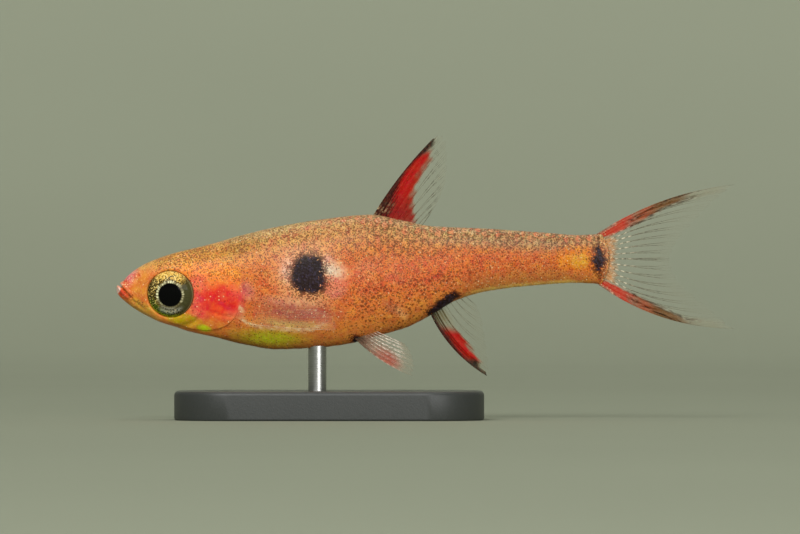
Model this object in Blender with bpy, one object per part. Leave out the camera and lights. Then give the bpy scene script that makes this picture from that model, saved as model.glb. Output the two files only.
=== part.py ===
"""Dwarf rasbora (Boraras maculatus), a life-size still model on a plain display stand.

The fish swims level towards -X, its left flank faces -Y and +Z is up. The origin lies under
the middle of the whole model, on the surface that the stand rests on. Sizes are written in
millimetres along the fish: s runs back from the tip of the lower jaw, z runs up from the level
of that tip, and y runs out from the mid plane. The function place turns them into the model's
frame, and finish turns each finished piece into metres.
"""

import math

import bmesh
import bpy
from mathutils import Matrix, Vector

# Driving dimensions, in millimetres
MM = 0.001
TOTAL_LENGTH = 25.6
FIN_TIP_DEPTH = 3.62
BASE_CLEARANCE = 0.6
GAP = 0.3
FIN_HALF_THICKNESS = 0.25
FIN_TIP_HALF_THICKNESS = 0.07
EDGE_THINNING = 0.6
EYE_RADIUS = 0.965
PUPIL_RADIUS = 0.48
EYE_GAP = 0.18
BASE_SIZE = (12.8, 7.2, 1.2)
BASE_CORNER = 2.4
BASE_CENTRE_S = 8.8
ROD_RADIUS = 0.38
ROD_S = 8.3
AXIS_HEIGHT = FIN_TIP_DEPTH + BASE_CLEARANCE + BASE_SIZE[2]

# Outline of head, trunk and tail stalk: (s, value)
BACK = [(0.0, 0.04), (0.12, 0.15), (0.25, 0.31), (0.4, 0.48), (0.75, 0.78), (1.24, 1.07), (2.4, 1.49),
        (3.64, 1.79), (4.9, 2.13), (6.75, 2.57), (8.4, 2.84), (10.5, 3.05), (11.7, 2.84),
        (13.0, 2.58), (15.5, 2.46), (17.9, 2.29), (19.1, 2.21), (20.6, 2.3)]
BELLY = [(0.0, -0.14), (0.08, -0.27), (0.17, -0.37), (0.75, -0.83), (1.3, -1.14), (2.0, -1.42), (3.0, -1.79),
         (4.1, -2.02), (5.3, -2.28), (6.6, -2.48), (8.2, -2.42), (9.6, -2.25), (10.6, -1.97),
         (12.0, -1.57), (13.0, -1.06), (14.1, -0.43), (15.3, -0.08), (17.0, 0.14), (19.0, 0.27),
         (20.6, 0.18)]
HALF_WIDTH = [(0.0, 0.08), (0.05, 0.2), (0.17, 0.34), (0.4, 0.49), (0.75, 0.64), (1.3, 0.83),
              (2.2, 1.04), (3.5, 1.21), (5.0, 1.32), (6.8, 1.36), (8.5, 1.3), (10.5, 1.13),
              (12.5, 0.89), (14.5, 0.69), (17.0, 0.53), (19.0, 0.42), (20.6, 0.27)]
TOP_FULLNESS = [(0.0, 0.0), (1.0, 0.1), (2.2, 0.12), (5.0, 0.1), (12.0, 0.06), (20.6, 0.0)]
SECTION_POWER = [(0.0, 0.9), (1.0, 0.8), (2.2, 0.66), (4.0, 0.76), (6.0, 0.88), (20.6, 0.88)]
BODY_END = 20.6
SNOUT_START = 0.02
RING_POINTS = 32
HEAD_STATIONS = 22
HEAD_CROWDING = 1.7
TRUNK_STATIONS = 17
TAIL_STATIONS = 10

# Gill cover edge and rear edge of the tail stalk, both arcs in side view: centre (s, z), radius
GILL_EDGE = ((3.15, -0.04), 2.11)
STALK_END = ((18.66, 1.245), 1.75)
STALK_FRONT = 14.6
CUTTER_HALF_WIDTH = 4.0
AHEAD_OF_FISH = -2.0
BEHIND_FISH = 24.0
BELOW_BODY = -3.0
ABOVE_BODY = 4.0

# Head details: (s, z) on the flank of the head
EYE_CENTRE = (2.24, -0.21)
EYE_RIM_PLANE = 0.76
EYE_PROFILE = [(0.15, 0.48), (0.32, 0.455), (PUPIL_RADIUS, 0.405), (0.53, 0.36), (0.68, 0.3), (0.81, 0.21),
               (0.91, 0.1), (EYE_RADIUS, 0.0), (0.92, -0.13), (0.6, -0.2)]
MOUTH_TOP = (0.15, 0.13)
MOUTH_CORNER = (0.64, -0.42)
MOUTH_SLIT = 0.055
LIP_RADIUS = 0.095
LIP_OFFSET = 0.09
UPPER_LIP_REACH = 0.05
LIP_STEPS = 16
NOSTRIL = (0.84, 0.56)
NOSTRIL_RIM = (0.19, 0.12, 0.15)
NOSTRIL_PITS = [(-0.09, 0.06), (0.075, 0.075)]
NOSTRIL_PIT_DEPTH = 0.15
NOSTRIL_PIT_OUT = 0.08
NOSTRIL_PIT_RISE = 0.02
CHEEK_GROOVE = [(3.35, 0.62), (3.62, 0.1), (3.7, -0.5), (3.55, -1.05), (3.1, -1.42), (2.5, -1.5)]
GILL_GROOVE = [(3.9, -0.92), (4.45, -1.12), (4.95, -1.1)]
JAW_GROOVE = [(0.7, -0.48), (0.98, -0.7), (1.3, -0.9), (1.62, -1.1)]
THROAT_GROOVE = [(4.5, -1.6), (3.8, -1.7), (3.0, -1.58), (2.2, -1.33), (1.7, -1.17)]
GROOVE_RADIUS = 0.055
GILL_RIM_RADIUS = 0.13
GILL_RIM_INSET = 0.12
GILL_RIM_TURN = (-62, 57, 7)
RIM_SINK = 0.03

# Fins in the mid plane: (s, z) of the root line and of the free margin, front to back
DORSAL_ROOT = [(10.48, 2.75), (11.5, 2.5), (12.42, 2.3)]
DORSAL_MARGIN = [(13.13, 6.24), (13.42, 6.42), (13.66, 6.1), (13.7, 5.3), (13.62, 4.4), (13.3, 3.6),
                 (12.98, 3.1)]
ANAL_ROOT = [(12.85, -0.65), (13.6, -0.4), (14.2, -0.1)]
ANAL_MARGIN = [(15.34, -3.6), (15.42, -3.2), (15.34, -2.5), (15.22, -1.8), (15.1, -1.15), (14.9, -0.68)]
UPPER_LOBE_ROOT = [(19.9, 2.26), (20.25, 1.9), (20.3, 1.4)]
UPPER_LOBE_MARGIN = [(25.6, 4.32), (24.85, 3.72), (23.9, 2.75), (23.2, 1.95), (22.9, 1.36)]
LOWER_LOBE_ROOT = [(20.3, 1.1), (20.25, 0.6), (19.9, 0.24)]
LOWER_LOBE_MARGIN = [(22.9, 1.06), (23.15, 0.5), (23.9, -0.25), (24.75, -0.95), (25.58, -1.64)]
TAIL_FIN_FRONT = 12.0

# Paired fins: (s, y, z) of the root line and of the free margin
PELVIC_ROOT = [(9.55, 0.34, -1.7), (9.95, 0.36, -1.65), (10.38, 0.38, -1.6)]
PELVIC_MARGIN = [(12.26, 0.95, -3.6), (12.32, 0.93, -3.25), (12.28, 0.88, -2.9), (12.16, 0.8, -2.55),
                 (11.95, 0.72, -2.3)]
PECTORAL_ROOT = [(5.3, 0.8, -1.42), (5.32, 0.8, -1.22), (5.3, 0.8, -0.98)]
PECTORAL_MARGIN = [(9.12, 1.95, -1.7), (9.16, 1.97, -1.52), (9.1, 2.0, -1.3), (8.85, 2.0, -1.02),
                   (8.35, 1.95, -0.82)]
PECTORAL_FLARE = 0.42
PECTORAL_FLARE_START = 3.0
PECTORAL_FLARE_LENGTH = 2.6

# Build of each fin: rays, bow of its first and last ray, height of the ray ridges, depth of the
# margin's notches, points along a ray and columns of points from one ray to the next
DORSAL_BUILD = (10, -0.3, 0.0, 0.07, 0.05, 9, 4)
ANAL_BUILD = (8, 0.66, 0.0, 0.07, 0.05, 9, 4)
UPPER_LOBE_BUILD = (10, -0.72, 0.0, 0.06, 0.04, 10, 2)
LOWER_LOBE_BUILD = (9, 0.0, 0.95, 0.06, 0.04, 10, 2)
PELVIC_BUILD = (8, 0.42, 0.0, 0.05, 0.05, 8, 2)
PECTORAL_BUILD = (9, 0.1, 0.0, 0.04, 0.04, 9, 2)
TAPER_SHARE = 0.3
RIDGE_LEFT_AT_TIP = 0.35

# Stand: bevels of the base's edges, at the top as (height below the top, inset), and the rod's bar,
# which starts out longer than the rod and is cut off below the belly
BASE_FOOT_BEVEL = 0.12
BASE_TOP_BEVEL = [(0.3, 0.0), (0.09, 0.09), (0.0, 0.3)]
CORNER_STEPS = 6
ROD_OVERSHOOT = 0.8
ROD_SIDES = 20


def place(s, y, z):
    """Point of the model's frame, still in millimetres, for a point of the fish."""
    return Vector((s - TOTAL_LENGTH / 2, y, z + AXIS_HEIGHT))


def clear_scene():
    """Empties the scene."""
    for old in list(bpy.data.objects):
        bpy.data.objects.remove(old, do_unlink=True)


def material(name, colour, roughness, metallic=0.0):
    """Plain finish of one colour."""
    made = bpy.data.materials.new(name)
    made.use_nodes = True
    shader = made.node_tree.nodes["Principled BSDF"]
    shader.inputs["Base Color"].default_value = (*colour, 1.0)
    shader.inputs["Roughness"].default_value = roughness
    shader.inputs["Metallic"].default_value = metallic
    return made


# Curves through named points


def value_at(points, s):
    """Value at s of the smooth curve through (s, value) points, with no overshoot between them."""
    if s <= points[0][0]:
        return points[0][1]
    if s >= points[-1][0]:
        return points[-1][1]
    i = max(k for k in range(len(points) - 1) if points[k][0] <= s)
    slopes = [(b[1] - a[1]) / (b[0] - a[0]) for a, b in zip(points, points[1:])]

    def tangent(k):
        before = slopes[max(k - 1, 0)]
        after = slopes[min(k, len(slopes) - 1)]
        return 0.0 if before * after <= 0 else 2 * before * after / (before + after)

    step = points[i + 1][0] - points[i][0]
    t = (s - points[i][0]) / step
    return (
        (2 * t**3 - 3 * t**2 + 1) * points[i][1]
        + (t**3 - 2 * t**2 + t) * step * tangent(i)
        + (3 * t**2 - 2 * t**3) * points[i + 1][1]
        + (t**3 - t**2) * step * tangent(i + 1)
    )


def along(points, t):
    """Point at t, from 0 to 1, of the smooth path through the points."""
    spans = len(points) - 1
    i = min(int(t * spans), spans - 1)
    u = t * spans - i
    here, there = Vector(points[i]), Vector(points[i + 1])
    before = Vector(points[i - 1]) if i else 2 * here - there
    after = Vector(points[i + 2]) if i + 2 <= spans else 2 * there - here
    return 0.5 * (
        2 * here
        + (there - before) * u
        + (2 * before - 5 * here + 4 * there - after) * u**2
        + (3 * here - before - 3 * there + after) * u**3
    )


# The body's own surface


def section(s):
    """Mid height, half height, half width and top fullness of the body at s."""
    top, bottom = value_at(BACK, s), value_at(BELLY, s)
    return (top + bottom) / 2, (top - bottom) / 2, value_at(HALF_WIDTH, s), value_at(TOP_FULLNESS, s)


def half_width_at(s, z):
    """Distance from the mid plane to the flank at s and z."""
    middle, half_height, half_width, fullness = section(s)
    sine = max(-1.0, min(1.0, (z - middle) / half_height))
    return half_width * (1 - sine * sine) ** (value_at(SECTION_POWER, s) / 2) * (1 + fullness * sine)


def body_ring(s, grow):
    """Points of the body's cross section at s, swollen outwards by grow."""
    middle, half_height, half_width, fullness = section(s)
    power = value_at(SECTION_POWER, s)
    ring = []
    for k in range(RING_POINTS):
        angle = 2 * math.pi * k / RING_POINTS
        cosine, sine = math.cos(angle), math.sin(angle)
        y = half_width * math.copysign(abs(cosine) ** power, cosine) * (1 + fullness * sine)
        ring.append(place(s, y + grow * cosine, middle + (half_height + grow) * sine))
    return ring


def body_stations():
    """Places of the cross sections, closest together at the snout."""
    head_end = GILL_EDGE[0][0] + GILL_EDGE[1] + GAP
    stations = [SNOUT_START + head_end * (k / HEAD_STATIONS) ** HEAD_CROWDING for k in range(HEAD_STATIONS)]
    trunk_step = (STALK_FRONT - head_end) / TRUNK_STATIONS
    stations += [head_end + trunk_step * k for k in range(TRUNK_STATIONS)]
    tail_step = (BODY_END - STALK_FRONT) / TAIL_STATIONS
    stations += [STALK_FRONT + tail_step * k for k in range(TAIL_STATIONS + 1)]
    return stations


# Mesh helpers


def new_object(name, mesh_builder):
    """Linked object whose mesh is taken from a bmesh, with its faces turned outwards."""
    bmesh.ops.recalc_face_normals(mesh_builder, faces=mesh_builder.faces)
    mesh = bpy.data.meshes.new(name)
    mesh_builder.to_mesh(mesh)
    mesh_builder.free()
    made = bpy.data.objects.new(name, mesh)
    bpy.context.scene.collection.objects.link(made)
    return made


def loft(name, rings):
    """Closed solid through rings of equal count, flat at both ends."""
    builder = bmesh.new()
    rows = [[builder.verts.new(point) for point in ring] for ring in rings]
    count = len(rows[0])
    for row, following in zip(rows, rows[1:]):
        for k in range(count):
            after = (k + 1) % count
            builder.faces.new((row[k], row[after], following[after], following[k]))
    builder.faces.new(rows[0])
    builder.faces.new(list(reversed(rows[-1])))
    return new_object(name, builder)


def side_prism(name, outline, half_width):
    """Solid with the given outline of (s, z) in side view, from one side of the fish to the other."""
    return loft(name, [[place(s, y, z) for s, z in outline] for y in (-half_width, half_width)])


def round_ended_outline(centre, radius, front):
    """Outline with a straight front edge and a half circle for its rear edge."""
    arc = [math.radians(angle) for angle in range(-90, 91, 6)]
    curved = [(centre[0] + radius * math.cos(a), centre[1] + radius * math.sin(a)) for a in arc]
    return [(front, centre[1] - radius), *curved, (front, centre[1] + radius)]


def tube(name, path, radius, sides=8, end_taper=1.0):
    """Round bar along a path of points, with flat ends thinned to end_taper of its radius."""
    rings = []
    side = None
    for k, point in enumerate(path):
        ahead = (path[min(k + 1, len(path) - 1)] - path[max(k - 1, 0)]).normalized()
        side = ahead.orthogonal() if side is None else side - ahead * side.dot(ahead)
        side.normalize()
        up = ahead.cross(side)
        turns = [2 * math.pi * n / sides for n in range(sides)]
        nearest_end = min(k, len(path) - 1 - k)
        girth = radius * (1 if nearest_end > 2 else end_taper + (1 - end_taper) * nearest_end / 3)
        rings.append([point + (side * math.cos(a) + up * math.sin(a)) * girth for a in turns])
    return loft(name, rings)


def ball(name, centre, radii, segments=16, rings=10):
    """Ellipsoid round a centre given by place."""
    builder = bmesh.new()
    bmesh.ops.create_uvsphere(builder, u_segments=segments, v_segments=rings, radius=1.0)
    for vert in builder.verts:
        vert.co = centre + Vector([value * size for value, size in zip(vert.co, radii)])
    return new_object(name, builder)


def apply_boolean(target, operation, tool=None, tools=None):
    """Joins, cuts or clips the target with one object or with a list, then removes them."""
    modifier = target.modifiers.new(operation.title(), "BOOLEAN")
    modifier.operation = operation
    group = None
    if tools:
        group = bpy.data.collections.new("tools")
        for piece in tools:
            group.objects.link(piece)
        modifier.operand_type = "COLLECTION"
        modifier.collection = group
    else:
        modifier.object = tool
    bpy.context.view_layer.objects.active = target
    bpy.ops.object.modifier_apply(modifier=modifier.name)
    for piece in tools or [tool]:
        bpy.data.objects.remove(piece, do_unlink=True)
    if group:
        bpy.data.collections.remove(group)


def keep_largest(target):
    """Drops every closed surface of the mesh but the one with the most volume."""
    builder = bmesh.new()
    builder.from_mesh(target.data)
    bmesh.ops.remove_doubles(builder, verts=builder.verts, dist=1e-5)
    unseen = set(builder.verts)
    islands = []
    while unseen:
        stack = [unseen.pop()]
        island = set(stack)
        while stack:
            for edge in stack.pop().link_edges:
                for vert in edge.verts:
                    if vert in unseen:
                        unseen.remove(vert)
                        island.add(vert)
                        stack.append(vert)
        islands.append(island)

    def extent(island):
        return sum(face.calc_area() for face in {face for vert in island for face in vert.link_faces})

    largest = max(islands, key=extent)
    bmesh.ops.delete(builder, geom=[v for v in builder.verts if v not in largest], context="VERTS")
    builder.to_mesh(target.data)
    builder.free()


def finish(target, name, look, sharp_angle=35):
    """Cleans a piece, turns its mesh from millimetres into metres and gives it its name and material."""
    keep_largest(target)
    target.data.transform(Matrix.Scale(MM, 4))
    target.name = name
    target.data.name = name
    target.data.materials.clear()
    target.data.materials.append(look)
    target.data.shade_smooth()
    target.data.set_sharp_from_angle(angle=math.radians(sharp_angle))


# Head, trunk and tail stalk


def body(name, grow=0.0):
    """Whole closed body, swollen by grow."""
    return loft(name, [body_ring(s, grow) for s in body_stations()])


def flank_path(points, side, steps, out=0.0):
    """Points on the flank above a path of (s, z), raised off the surface by out."""
    path = []
    for k in range(steps + 1):
        s, z = along(points, k / steps)
        path.append(place(s, side * (half_width_at(s, z) + out), z))
    return path


def lip(name, offset, forward, radius):
    """Bar round the mouth, from corner to corner over the tip of one jaw."""
    top, corner = Vector(MOUTH_TOP), Vector(MOUTH_CORNER)
    across = Vector((corner.y - top.y, top.x - corner.x)).normalized()
    half_gape = half_width_at(*MOUTH_CORNER)
    path = []
    for k in range(LIP_STEPS + 1):
        angle = math.pi * (k / LIP_STEPS - 0.5)
        reach = math.cos(angle)
        fade = min(1.0, 0.3 + 1.6 * reach)
        point = corner + (top - corner) * reach - across * offset * fade
        path.append(place(point.x - forward * reach, half_gape * math.sin(angle), point.y))
    return tube(name, path, radius)


def mouth_slit():
    """Cutter for the closed gape, a thin slanting plate right through the snout."""
    top, corner = Vector(MOUTH_TOP), Vector(MOUTH_CORNER)
    run = (corner - top).normalized()
    across = Vector((-run.y, run.x)) * MOUTH_SLIT / 2
    front = top - run * 0.6
    rounded_end = corner + run * MOUTH_SLIT / 2
    outline = [front + across, corner + across, rounded_end, corner - across, front - across]
    return side_prism("mouth slit", [tuple(point) for point in outline], 1.0)


def nostril_pieces(side):
    """Low rim of one nostril, and the cutters of its front and rear pits."""
    s, z = NOSTRIL
    rim = ball("nostril rim", place(s, side * (half_width_at(s, z) - RIM_SINK), z), NOSTRIL_RIM, 12, 8)
    pits = []
    for shift, radius in NOSTRIL_PITS:
        at = half_width_at(s + shift, z) + NOSTRIL_PIT_OUT
        centre = place(s + shift, side * at, z + NOSTRIL_PIT_RISE)
        pits.append(ball("nostril pit", centre, (radius, NOSTRIL_PIT_DEPTH, radius), 8, 6))
    return rim, pits


def eye_solid(name, side, grow=0.0):
    """Eyeball as a turned solid: a raised pupil, a sloping iris, a rim and a shallow back."""
    s, z = EYE_CENTRE
    segments = 26
    turns = [2 * math.pi * n / segments for n in range(segments)]
    rings = []
    for radius, depth in EYE_PROFILE:
        reach = radius + grow
        level = side * (EYE_RIM_PLANE + depth + math.copysign(grow, depth) * min(1.0, abs(depth) / 0.1))
        rings.append([place(s + reach * math.cos(a), level, z + reach * math.sin(a)) for a in turns])
    return loft(name, rings)


def make_head(look):
    """Head with lips, mouth slit, nostrils, grooves, eye sockets and a raised gill cover edge."""
    head = body("head")
    centre, radius = GILL_EDGE
    lips = [lip("upper lip", LIP_OFFSET, UPPER_LIP_REACH, LIP_RADIUS)]
    lips.append(lip("lower lip", -LIP_OFFSET, 0.0, LIP_RADIUS))
    rim_angles = [math.radians(angle) for angle in range(*GILL_RIM_TURN)]
    rim_radius = radius - GILL_RIM_INSET
    rims = []
    cutters = [mouth_slit()]
    for side in (-1, 1):
        path = []
        for angle in rim_angles:
            s, z = centre[0] + rim_radius * math.cos(angle), centre[1] + rim_radius * math.sin(angle)
            path.append(place(s, side * (half_width_at(s, z) - RIM_SINK), z))
        rims.append(tube("gill cover rim", path, GILL_RIM_RADIUS, 8, 0.3))
        rim, pits = nostril_pieces(side)
        rims.append(rim)
        cutters += pits
        for groove, steps in ((CHEEK_GROOVE, 14), (GILL_GROOVE, 6), (JAW_GROOVE, 8), (THROAT_GROOVE, 12)):
            cutters.append(tube("groove", flank_path(groove, side, steps, 0.01), GROOVE_RADIUS, 6, 0.4))
        cutters.append(eye_solid("eye socket", side, EYE_GAP))
    apply_boolean(head, "UNION", tools=[*lips, *rims])
    apply_boolean(head, "DIFFERENCE", tools=cutters)
    block = side_prism("head block", round_ended_outline(centre, radius, AHEAD_OF_FISH), CUTTER_HALF_WIDTH)
    apply_boolean(head, "INTERSECT", block)
    finish(head, "head", look)


def make_trunk(look):
    """Trunk from behind the gill covers to the tail stalk."""
    trunk = body("trunk")
    centre, radius = GILL_EDGE
    outline = round_ended_outline(centre, radius + GAP, AHEAD_OF_FISH)
    ahead = side_prism("ahead of trunk", outline, CUTTER_HALF_WIDTH)
    rear = STALK_FRONT - GAP
    outline = [(rear, BELOW_BODY), (BEHIND_FISH, BELOW_BODY)]
    outline += [(BEHIND_FISH, ABOVE_BODY), (rear, ABOVE_BODY)]
    behind = side_prism("behind trunk", outline, CUTTER_HALF_WIDTH)
    apply_boolean(trunk, "DIFFERENCE", tools=[ahead, behind])
    finish(trunk, "trunk", look)


def make_tail_stalk(look):
    """Tail stalk with a round rear edge for the tail fin."""
    stalk = body("tail_stalk")
    block = side_prism("stalk block", round_ended_outline(*STALK_END, STALK_FRONT), CUTTER_HALF_WIDTH)
    apply_boolean(stalk, "INTERSECT", block)
    finish(stalk, "tail_stalk", look)


def make_eyes(look):
    """Both eyes."""
    for name, side in (("eye_left", -1), ("eye_right", 1)):
        finish(eye_solid(name, side), name, look)


# Fins


def fin_path(points, side):
    """Smooth path through points of (s, z) or (s, y, z) on one side of the fish, as a function of u."""
    spread = [(p[0], side * p[1] if len(p) == 3 else 0.0, p[-1]) for p in points]
    return lambda u: along(spread, u)


def ray_point(root, tip, bow, t):
    """Point at t of a ray from root to tip, bowed sideways in side view by bow."""
    chord = tip - root
    bend = Vector((chord.z, 0, -chord.x)).normalized() * bow
    return root + chord * t + bend * 2 * t * (1 - t)


def fin_solid(name, root, margin, build, side=1):
    """Fin blade with a ridge along each ray on both faces and a margin cut in between the rays."""
    ray_count, first_bow, last_bow, ridge, notch, rows, columns_per_ray = build
    root_of, margin_of = fin_path(root, side), fin_path(margin, side)
    columns = (ray_count - 1) * columns_per_ray + 1
    middle = []
    crest = []
    for i in range(columns):
        u = i / (columns - 1)
        swell = math.cos(math.pi * i / columns_per_ray) ** 2
        reach = 1 - notch * (1 - swell)
        bow = first_bow * (1 - u) + last_bow * u
        middle.append([ray_point(root_of(u), margin_of(u), bow, reach * j / rows) for j in range(rows + 1)])
        crest.append(swell)
    builder = bmesh.new()
    faces = {1: [], -1: []}
    for i in range(columns):
        for sign in faces:
            faces[sign].append([])
        for j in range(rows + 1):
            before, after = middle[max(i - 1, 0)][j], middle[min(i + 1, columns - 1)][j]
            lower, upper = middle[i][max(j - 1, 0)], middle[i][min(j + 1, rows)]
            normal = (after - before).cross(upper - lower).normalized()
            taper = min(1.0, (1 - j / rows) / TAPER_SHARE)
            half = FIN_TIP_HALF_THICKNESS + (FIN_HALF_THICKNESS - FIN_TIP_HALF_THICKNESS) * taper
            half += ridge * crest[i] * (RIDGE_LEFT_AT_TIP + (1 - RIDGE_LEFT_AT_TIP) * taper)
            if i in (0, columns - 1):
                half *= EDGE_THINNING
            for sign, grid in faces.items():
                point = middle[i][j] + normal * sign * half
                grid[i].append(builder.verts.new(place(*point)))
    for sign, grid in faces.items():
        for i in range(columns - 1):
            for j in range(rows):
                a, b, c, d = grid[i][j], grid[i + 1][j], grid[i + 1][j + 1], grid[i][j + 1]
                builder.faces.new((a, b, c))
                builder.faces.new((a, c, d))
    rim = [(i, 0) for i in range(columns)]
    rim += [(columns - 1, j) for j in range(1, rows + 1)]
    rim += [(i, rows) for i in range(columns - 2, -1, -1)]
    rim += [(0, j) for j in range(rows - 1, 0, -1)]
    for (i, j), (m, n) in zip(rim, rim[1:] + rim[:1]):
        builder.faces.new((faces[1][i][j], faces[1][m][n], faces[-1][m][n], faces[-1][i][j]))
    return new_object(name, builder)


def make_middle_fin(name, root, margin, build, look):
    """Dorsal or anal fin, held off the body by a gap."""
    fin = fin_solid(name, root, margin, build)
    apply_boolean(fin, "DIFFERENCE", body("clearance", GAP))
    finish(fin, name, look)


def make_caudal_fin(look):
    """Both lobes of the tail fin, held off the round end of the stalk by a gap."""
    centre, radius = STALK_END
    lobes = [("caudal_fin_upper", UPPER_LOBE_ROOT, UPPER_LOBE_MARGIN, UPPER_LOBE_BUILD),
             ("caudal_fin_lower", LOWER_LOBE_ROOT, LOWER_LOBE_MARGIN, LOWER_LOBE_BUILD)]
    for name, root, margin, build in lobes:
        lobe = fin_solid(name, root, margin, build)
        outline = round_ended_outline(centre, radius + GAP, TAIL_FIN_FRONT)
        apply_boolean(lobe, "DIFFERENCE", side_prism("stalk clearance", outline, CUTTER_HALF_WIDTH))
        finish(lobe, name, look)


def make_paired_fins(look):
    """Pelvic and pectoral fins of both sides."""
    for word, side in (("left", -1), ("right", 1)):
        pelvic = fin_solid("pelvic_fin", PELVIC_ROOT, PELVIC_MARGIN, PELVIC_BUILD, side)
        apply_boolean(pelvic, "DIFFERENCE", body("clearance", GAP))
        finish(pelvic, "pelvic_fin_" + word, look)
        pectoral = fin_solid("pectoral_fin", PECTORAL_ROOT, PECTORAL_MARGIN, PECTORAL_BUILD, side)
        bend_outwards(pectoral, side)
        apply_boolean(pectoral, "DIFFERENCE", body("clearance", GAP))
        finish(pectoral, "pectoral_fin_" + word, look)


def bend_outwards(fin, side):
    """Swells the front of a pectoral fin away from the flank, so that it stands on a short stalk."""
    for vert in fin.data.vertices:
        reach = vert.co.x + TOTAL_LENGTH / 2 - PECTORAL_ROOT[0][0]
        if reach > 0:
            rise = 1 - math.exp(-PECTORAL_FLARE_START * reach)
            vert.co.y += side * PECTORAL_FLARE * rise * math.exp(-reach / PECTORAL_FLARE_LENGTH)


# Stand


def make_stand(base_look, rod_look):
    """Base slab with round corners, and a short rod up to the belly."""
    length, width, height = BASE_SIZE
    outline = []
    for corner, start in (((1, 1), 0), ((-1, 1), 90), ((-1, -1), 180), ((1, -1), 270)):
        for step in range(CORNER_STEPS + 1):
            angle = math.radians(start + 90 * step / CORNER_STEPS)
            outline.append((corner[0] * (length / 2 - BASE_CORNER) + BASE_CORNER * math.cos(angle),
                            corner[1] * (width / 2 - BASE_CORNER) + BASE_CORNER * math.sin(angle)))
    floor = -AXIS_HEIGHT
    rings = []
    edges = [(0.0, BASE_FOOT_BEVEL), (BASE_FOOT_BEVEL, 0.0)]
    edges += [(height - below, inset) for below, inset in BASE_TOP_BEVEL]
    for level, inset in edges:
        scale = (1 - 2 * inset / length, 1 - 2 * inset / width)
        rings.append([place(BASE_CENTRE_S + s * scale[0], y * scale[1], floor + level) for s, y in outline])
    finish(loft("stand_base", rings), "stand_base", base_look)
    foot = floor + height + GAP
    top = value_at(BELLY, ROD_S) + ROD_OVERSHOOT
    rod = tube("stand_rod", [place(ROD_S, 0, foot), place(ROD_S, 0, top)], ROD_RADIUS, ROD_SIDES)
    apply_boolean(rod, "DIFFERENCE", body("clearance", GAP))
    finish(rod, "stand_rod", rod_look)


def main():
    """Builds every part in turn."""
    clear_scene()
    flesh = material("flesh", (0.62, 0.27, 0.12), 0.35)
    head_flesh = material("head flesh", (0.78, 0.36, 0.12), 0.32)
    eye_look = material("eye", (0.05, 0.05, 0.03), 0.08)
    red_fin = material("red fin", (0.55, 0.05, 0.03), 0.4)
    clear_fin = material("clear fin", (0.6, 0.5, 0.4), 0.35)
    base_look = material("stand base", (0.07, 0.07, 0.075), 0.5)
    rod_look = material("stand rod", (0.62, 0.62, 0.63), 0.3, 1.0)
    make_head(head_flesh)
    make_eyes(eye_look)
    make_trunk(flesh)
    make_tail_stalk(flesh)
    make_middle_fin("dorsal_fin", DORSAL_ROOT, DORSAL_MARGIN, DORSAL_BUILD, red_fin)
    make_middle_fin("anal_fin", ANAL_ROOT, ANAL_MARGIN, ANAL_BUILD, red_fin)
    make_caudal_fin(clear_fin)
    make_paired_fins(clear_fin)
    make_stand(base_look, rod_look)


main()
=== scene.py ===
"""Looks of a life-size dwarf rasbora model: its skin, scales, eyes, fins, display stand and studio.

The fish is laid out in millimetres: s runs back from the lower jaw's tip, y out from the mid plane
to the right side, and z up from the level of the jaw's tip. place() turns these into the row frame.
"""

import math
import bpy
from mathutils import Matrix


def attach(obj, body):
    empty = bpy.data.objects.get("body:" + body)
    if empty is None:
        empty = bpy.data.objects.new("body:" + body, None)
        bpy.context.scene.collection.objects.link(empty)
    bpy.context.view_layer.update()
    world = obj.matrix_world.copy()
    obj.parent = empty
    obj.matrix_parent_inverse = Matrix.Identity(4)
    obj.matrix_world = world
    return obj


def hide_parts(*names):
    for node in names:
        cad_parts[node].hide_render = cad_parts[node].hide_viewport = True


bl_info = {
    "name": "Dwarf Rasbora Model",
    "version": (1, 0, 0),
    "blender": (4, 5, 0),
    "location": "3D View > Sidebar > Rasbora",
    "description": "Skin, scales, eyes, fins, display stand and studio of a life-size dwarf rasbora",
    "category": "Object",
}

import bpy
import numpy as np

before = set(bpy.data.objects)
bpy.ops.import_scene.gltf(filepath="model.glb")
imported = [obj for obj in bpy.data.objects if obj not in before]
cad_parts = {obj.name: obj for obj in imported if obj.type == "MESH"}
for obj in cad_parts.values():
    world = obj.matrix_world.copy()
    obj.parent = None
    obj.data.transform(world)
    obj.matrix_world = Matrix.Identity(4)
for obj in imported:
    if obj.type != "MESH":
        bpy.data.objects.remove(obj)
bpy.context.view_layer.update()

# The body's own measures in millimetres, the same as in the solids

MM = 0.001
TOTAL_LENGTH = 25.6
AXIS_HEIGHT = 5.42
BACK = [
    (0.0, 0.04), (0.12, 0.15), (0.25, 0.31), (0.4, 0.48), (0.75, 0.78), (1.24, 1.07), (2.4, 1.49),
    (3.64, 1.79), (4.9, 2.13), (6.75, 2.57), (8.4, 2.84), (10.5, 3.05), (11.7, 2.84), (13.0, 2.58),
    (15.5, 2.46), (17.9, 2.29), (19.1, 2.21), (20.6, 2.3),
]
BELLY = [
    (0.0, -0.14), (0.08, -0.27), (0.17, -0.37), (0.75, -0.83), (1.3, -1.14), (2.0, -1.42), (3.0, -1.79),
    (4.1, -2.02), (5.3, -2.28), (6.6, -2.48), (8.2, -2.42), (9.6, -2.25), (10.6, -1.97), (12.0, -1.57),
    (13.0, -1.06), (14.1, -0.43), (15.3, -0.08), (17.0, 0.14), (19.0, 0.27), (20.6, 0.18),
]
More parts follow.
